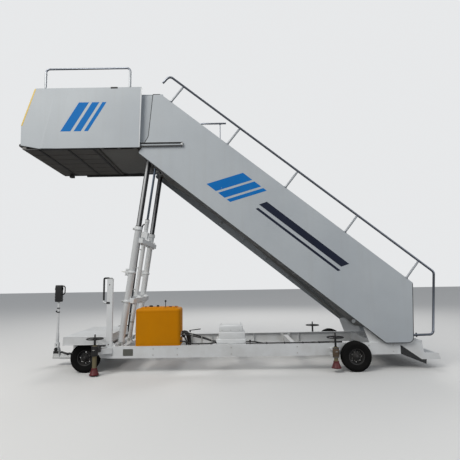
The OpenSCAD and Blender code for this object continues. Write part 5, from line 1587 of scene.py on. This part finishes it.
# %% Tow bar: pole, clamp and joint
BAR_X, EYE_Z, FOLD_Z = -3.11, 1.385, 0.29
bm = bmesh.new()
turned(bm, [(0, 0.3), (0.024, 0.3), (0.024, 0.415), (0.0275, 0.43), (0.0275, 0.56), (0.0215, 0.59),
            (0.02, 0.7), (0.019, 0.96), (0.0205, 0.975), (0.0205, 1.145), (0, 1.145)],
       (BAR_X, 0, 0), UP, 28)
turned(bm, [(0, -0.0282), (0.029, -0.0282), (0.03, -0.027), (0.03, 0.027), (0.029, 0.0282), (0, 0.0282)],
       (BAR_X, 0, FOLD_Z), (0, 1, 0), 28)
block(bm, (BAR_X - 0.034, -0.033, 0.33), (BAR_X + 0.034, 0.033, 0.405))
finish_piece(bm, "tow_pole", "tow_bar", white_paint, stands_for="tow_bar")
bm = bmesh.new()
for z in (0.948, 1.02):
    turned(bm, [(0.0195, 0), (0.0265, 0), (0.028, 0.003), (0.028, 0.015), (0.0265, 0.018), (0.0195, 0.018)],
           (BAR_X, 0, z), UP)
block(bm, (BAR_X - 0.046, -0.012, 0.955), (BAR_X - 0.02, 0.012, 0.985))
bar(bm, (BAR_X - 0.036, -0.024, 0.97), (BAR_X - 0.036, 0.024, 0.97), 0.005)
bar(bm, (BAR_X, -0.06, FOLD_Z), (BAR_X, 0.06, FOLD_Z), 0.012, 20)
for e in ENDS:
    hex_bolt(bm, (BAR_X, e * 0.0525, FOLD_Z), (0, e, 0), 0.015)
    hex_bolt(bm, (BAR_X, e * 0.033, 0.368), (0, e, 0), 0.009)
finish_piece(bm, "tow_joint", "tow_bar", black_paint, 0.001)
bm = bmesh.new()
for e in ENDS:
    turned(bm, [(0.0135, 0.0517), (0.035, 0.0517), (0.035, 0.053), (0.034, 0.054), (0.0135, 0.054)],
           (BAR_X, 0, FOLD_Z), (0, e, 0), 28)
    block(bm, (BAR_X - 0.048, e * 0.0517, 0.218), (BAR_X + 0.048, e * 0.053, 0.262))
finish_piece(bm, "yoke_caps", "steering_yoke", black_paint)
bm = bmesh.new()
for y in (-0.024, 0.024):
    tube(bm, [(-3.04, y, 0.24), (-2.99, y, 0.222), (-2.93, y, 0.206), (-2.56, y, 0.206), (-2.5, y, 0.206)],
         0.0125, 0.04)
for x in (-2.9, -2.7, -2.52):
    block(bm, (x - 0.01, -0.04, 0.184), (x + 0.01, 0.04, 0.22))
finish_piece(bm, "yoke_lines", "steering_yoke", hose_rubber)


# %% Tow bar: head with its eye and the thumb loop
def helper_object(name, bm):
    """A passing object for the boolean below."""
    data = bpy.data.meshes.new(name)
    bm.to_mesh(data)
    bm.free()
    return into_scene(name, data)


bm = bmesh.new()
block(bm, (BAR_X - 0.06, -0.046, EYE_Z - 0.24), (BAR_X + 0.06, 0.046, EYE_Z + 0.068))
soften(bm, bm.edges[:], 0.014, 4)
for z in (EYE_Z - 0.1, EYE_Z - 0.15, EYE_Z - 0.2):
    block(bm, (BAR_X - 0.0605, -0.0465, z - 0.006), (BAR_X + 0.0605, 0.0465, z + 0.006))
blank = helper_object("head blank", bm)
bm = bmesh.new()
bar(bm, (BAR_X - 0.08, 0, EYE_Z), (BAR_X + 0.08, 0, EYE_Z), 0.0345, 48)
drill = helper_object("eye drill", bm)
cut = blank.modifiers.new("eye", "BOOLEAN")
cut.operation, cut.solver = "DIFFERENCE", "EXACT"
cut.use_self = True
cut.object = drill
bm = bmesh.new()
bm.from_object(blank, bpy.context.evaluated_depsgraph_get())
for helper in (blank, drill):
    bpy.data.objects.remove(helper)
turned(bm, [(0.034, -0.061), (0.0345, -0.0615), (0.044, -0.0615), (0.046, -0.059), (0.035, -0.059),
            (0.035, 0.059), (0.046, 0.059), (0.044, 0.0605), (0.0345, 0.0605), (0.034, 0.06)],
       (BAR_X, 0, EYE_Z), (1, 0, 0), 48)
LOOP = [(0.058, 0.048), (0.095, 0.052), (0.109, 0.02), (0.109, -0.07), (0.09, -0.102), (0.058, -0.112)]
tube(bm, [(BAR_X + dx, 0, EYE_Z + dz) for dx, dz in LOOP], 0.0105, 0.03, 14)
finish_piece(bm, "tow_head", "tow_bar", black_paint)
print("tow head sits round", [round(v, 3) for v in (BAR_X, 0, EYE_Z)])

# %% Tail steps: ribs, and the dark ribbed skirt under them, whose dark rubber is partly a painted shadow
bm = bmesh.new()
for first, count, z in ((2.95, 10, 0.455), (3.262, 8, 0.25)):
    for i in range(count):
        x = first + 0.026 * i
        block(bm, (x, -0.75, z - 0.0005), (x + 0.01, 0.75, z + 0.003))
finish_piece(bm, "tail_ribs", "chassis", tread_metal, 0.0008, smooth=False)
SKIRT_AND_SHADOW = [(2.886, 0.388), (2.886, 0.245), (3.29, 0.08), (3.3, 0.156), (3.22, 0.158)]
# The skirt's dark rubber stands partly for the shadow under the tail steps.
bm = bmesh.new()
for side in SIDES:
    plate(bm, SKIRT_AND_SHADOW, side * 0.7755, side * 0.756)
    for i in range(8):
        t = 0.04 + 0.105 * i
        x, z, tall = 2.89 + 0.395 * t, 0.246 - 0.16 * t, 0.134 - 0.07 * t
        plate(bm, [(x, z), (x + 0.01, z), (x + 0.01, z + tall), (x, z + tall)], side * 0.779, side * 0.775)
finish_piece(bm, "tail_skirts_and_shadow", "chassis", mat_rubber, 0.001)
print("chassis dressed")
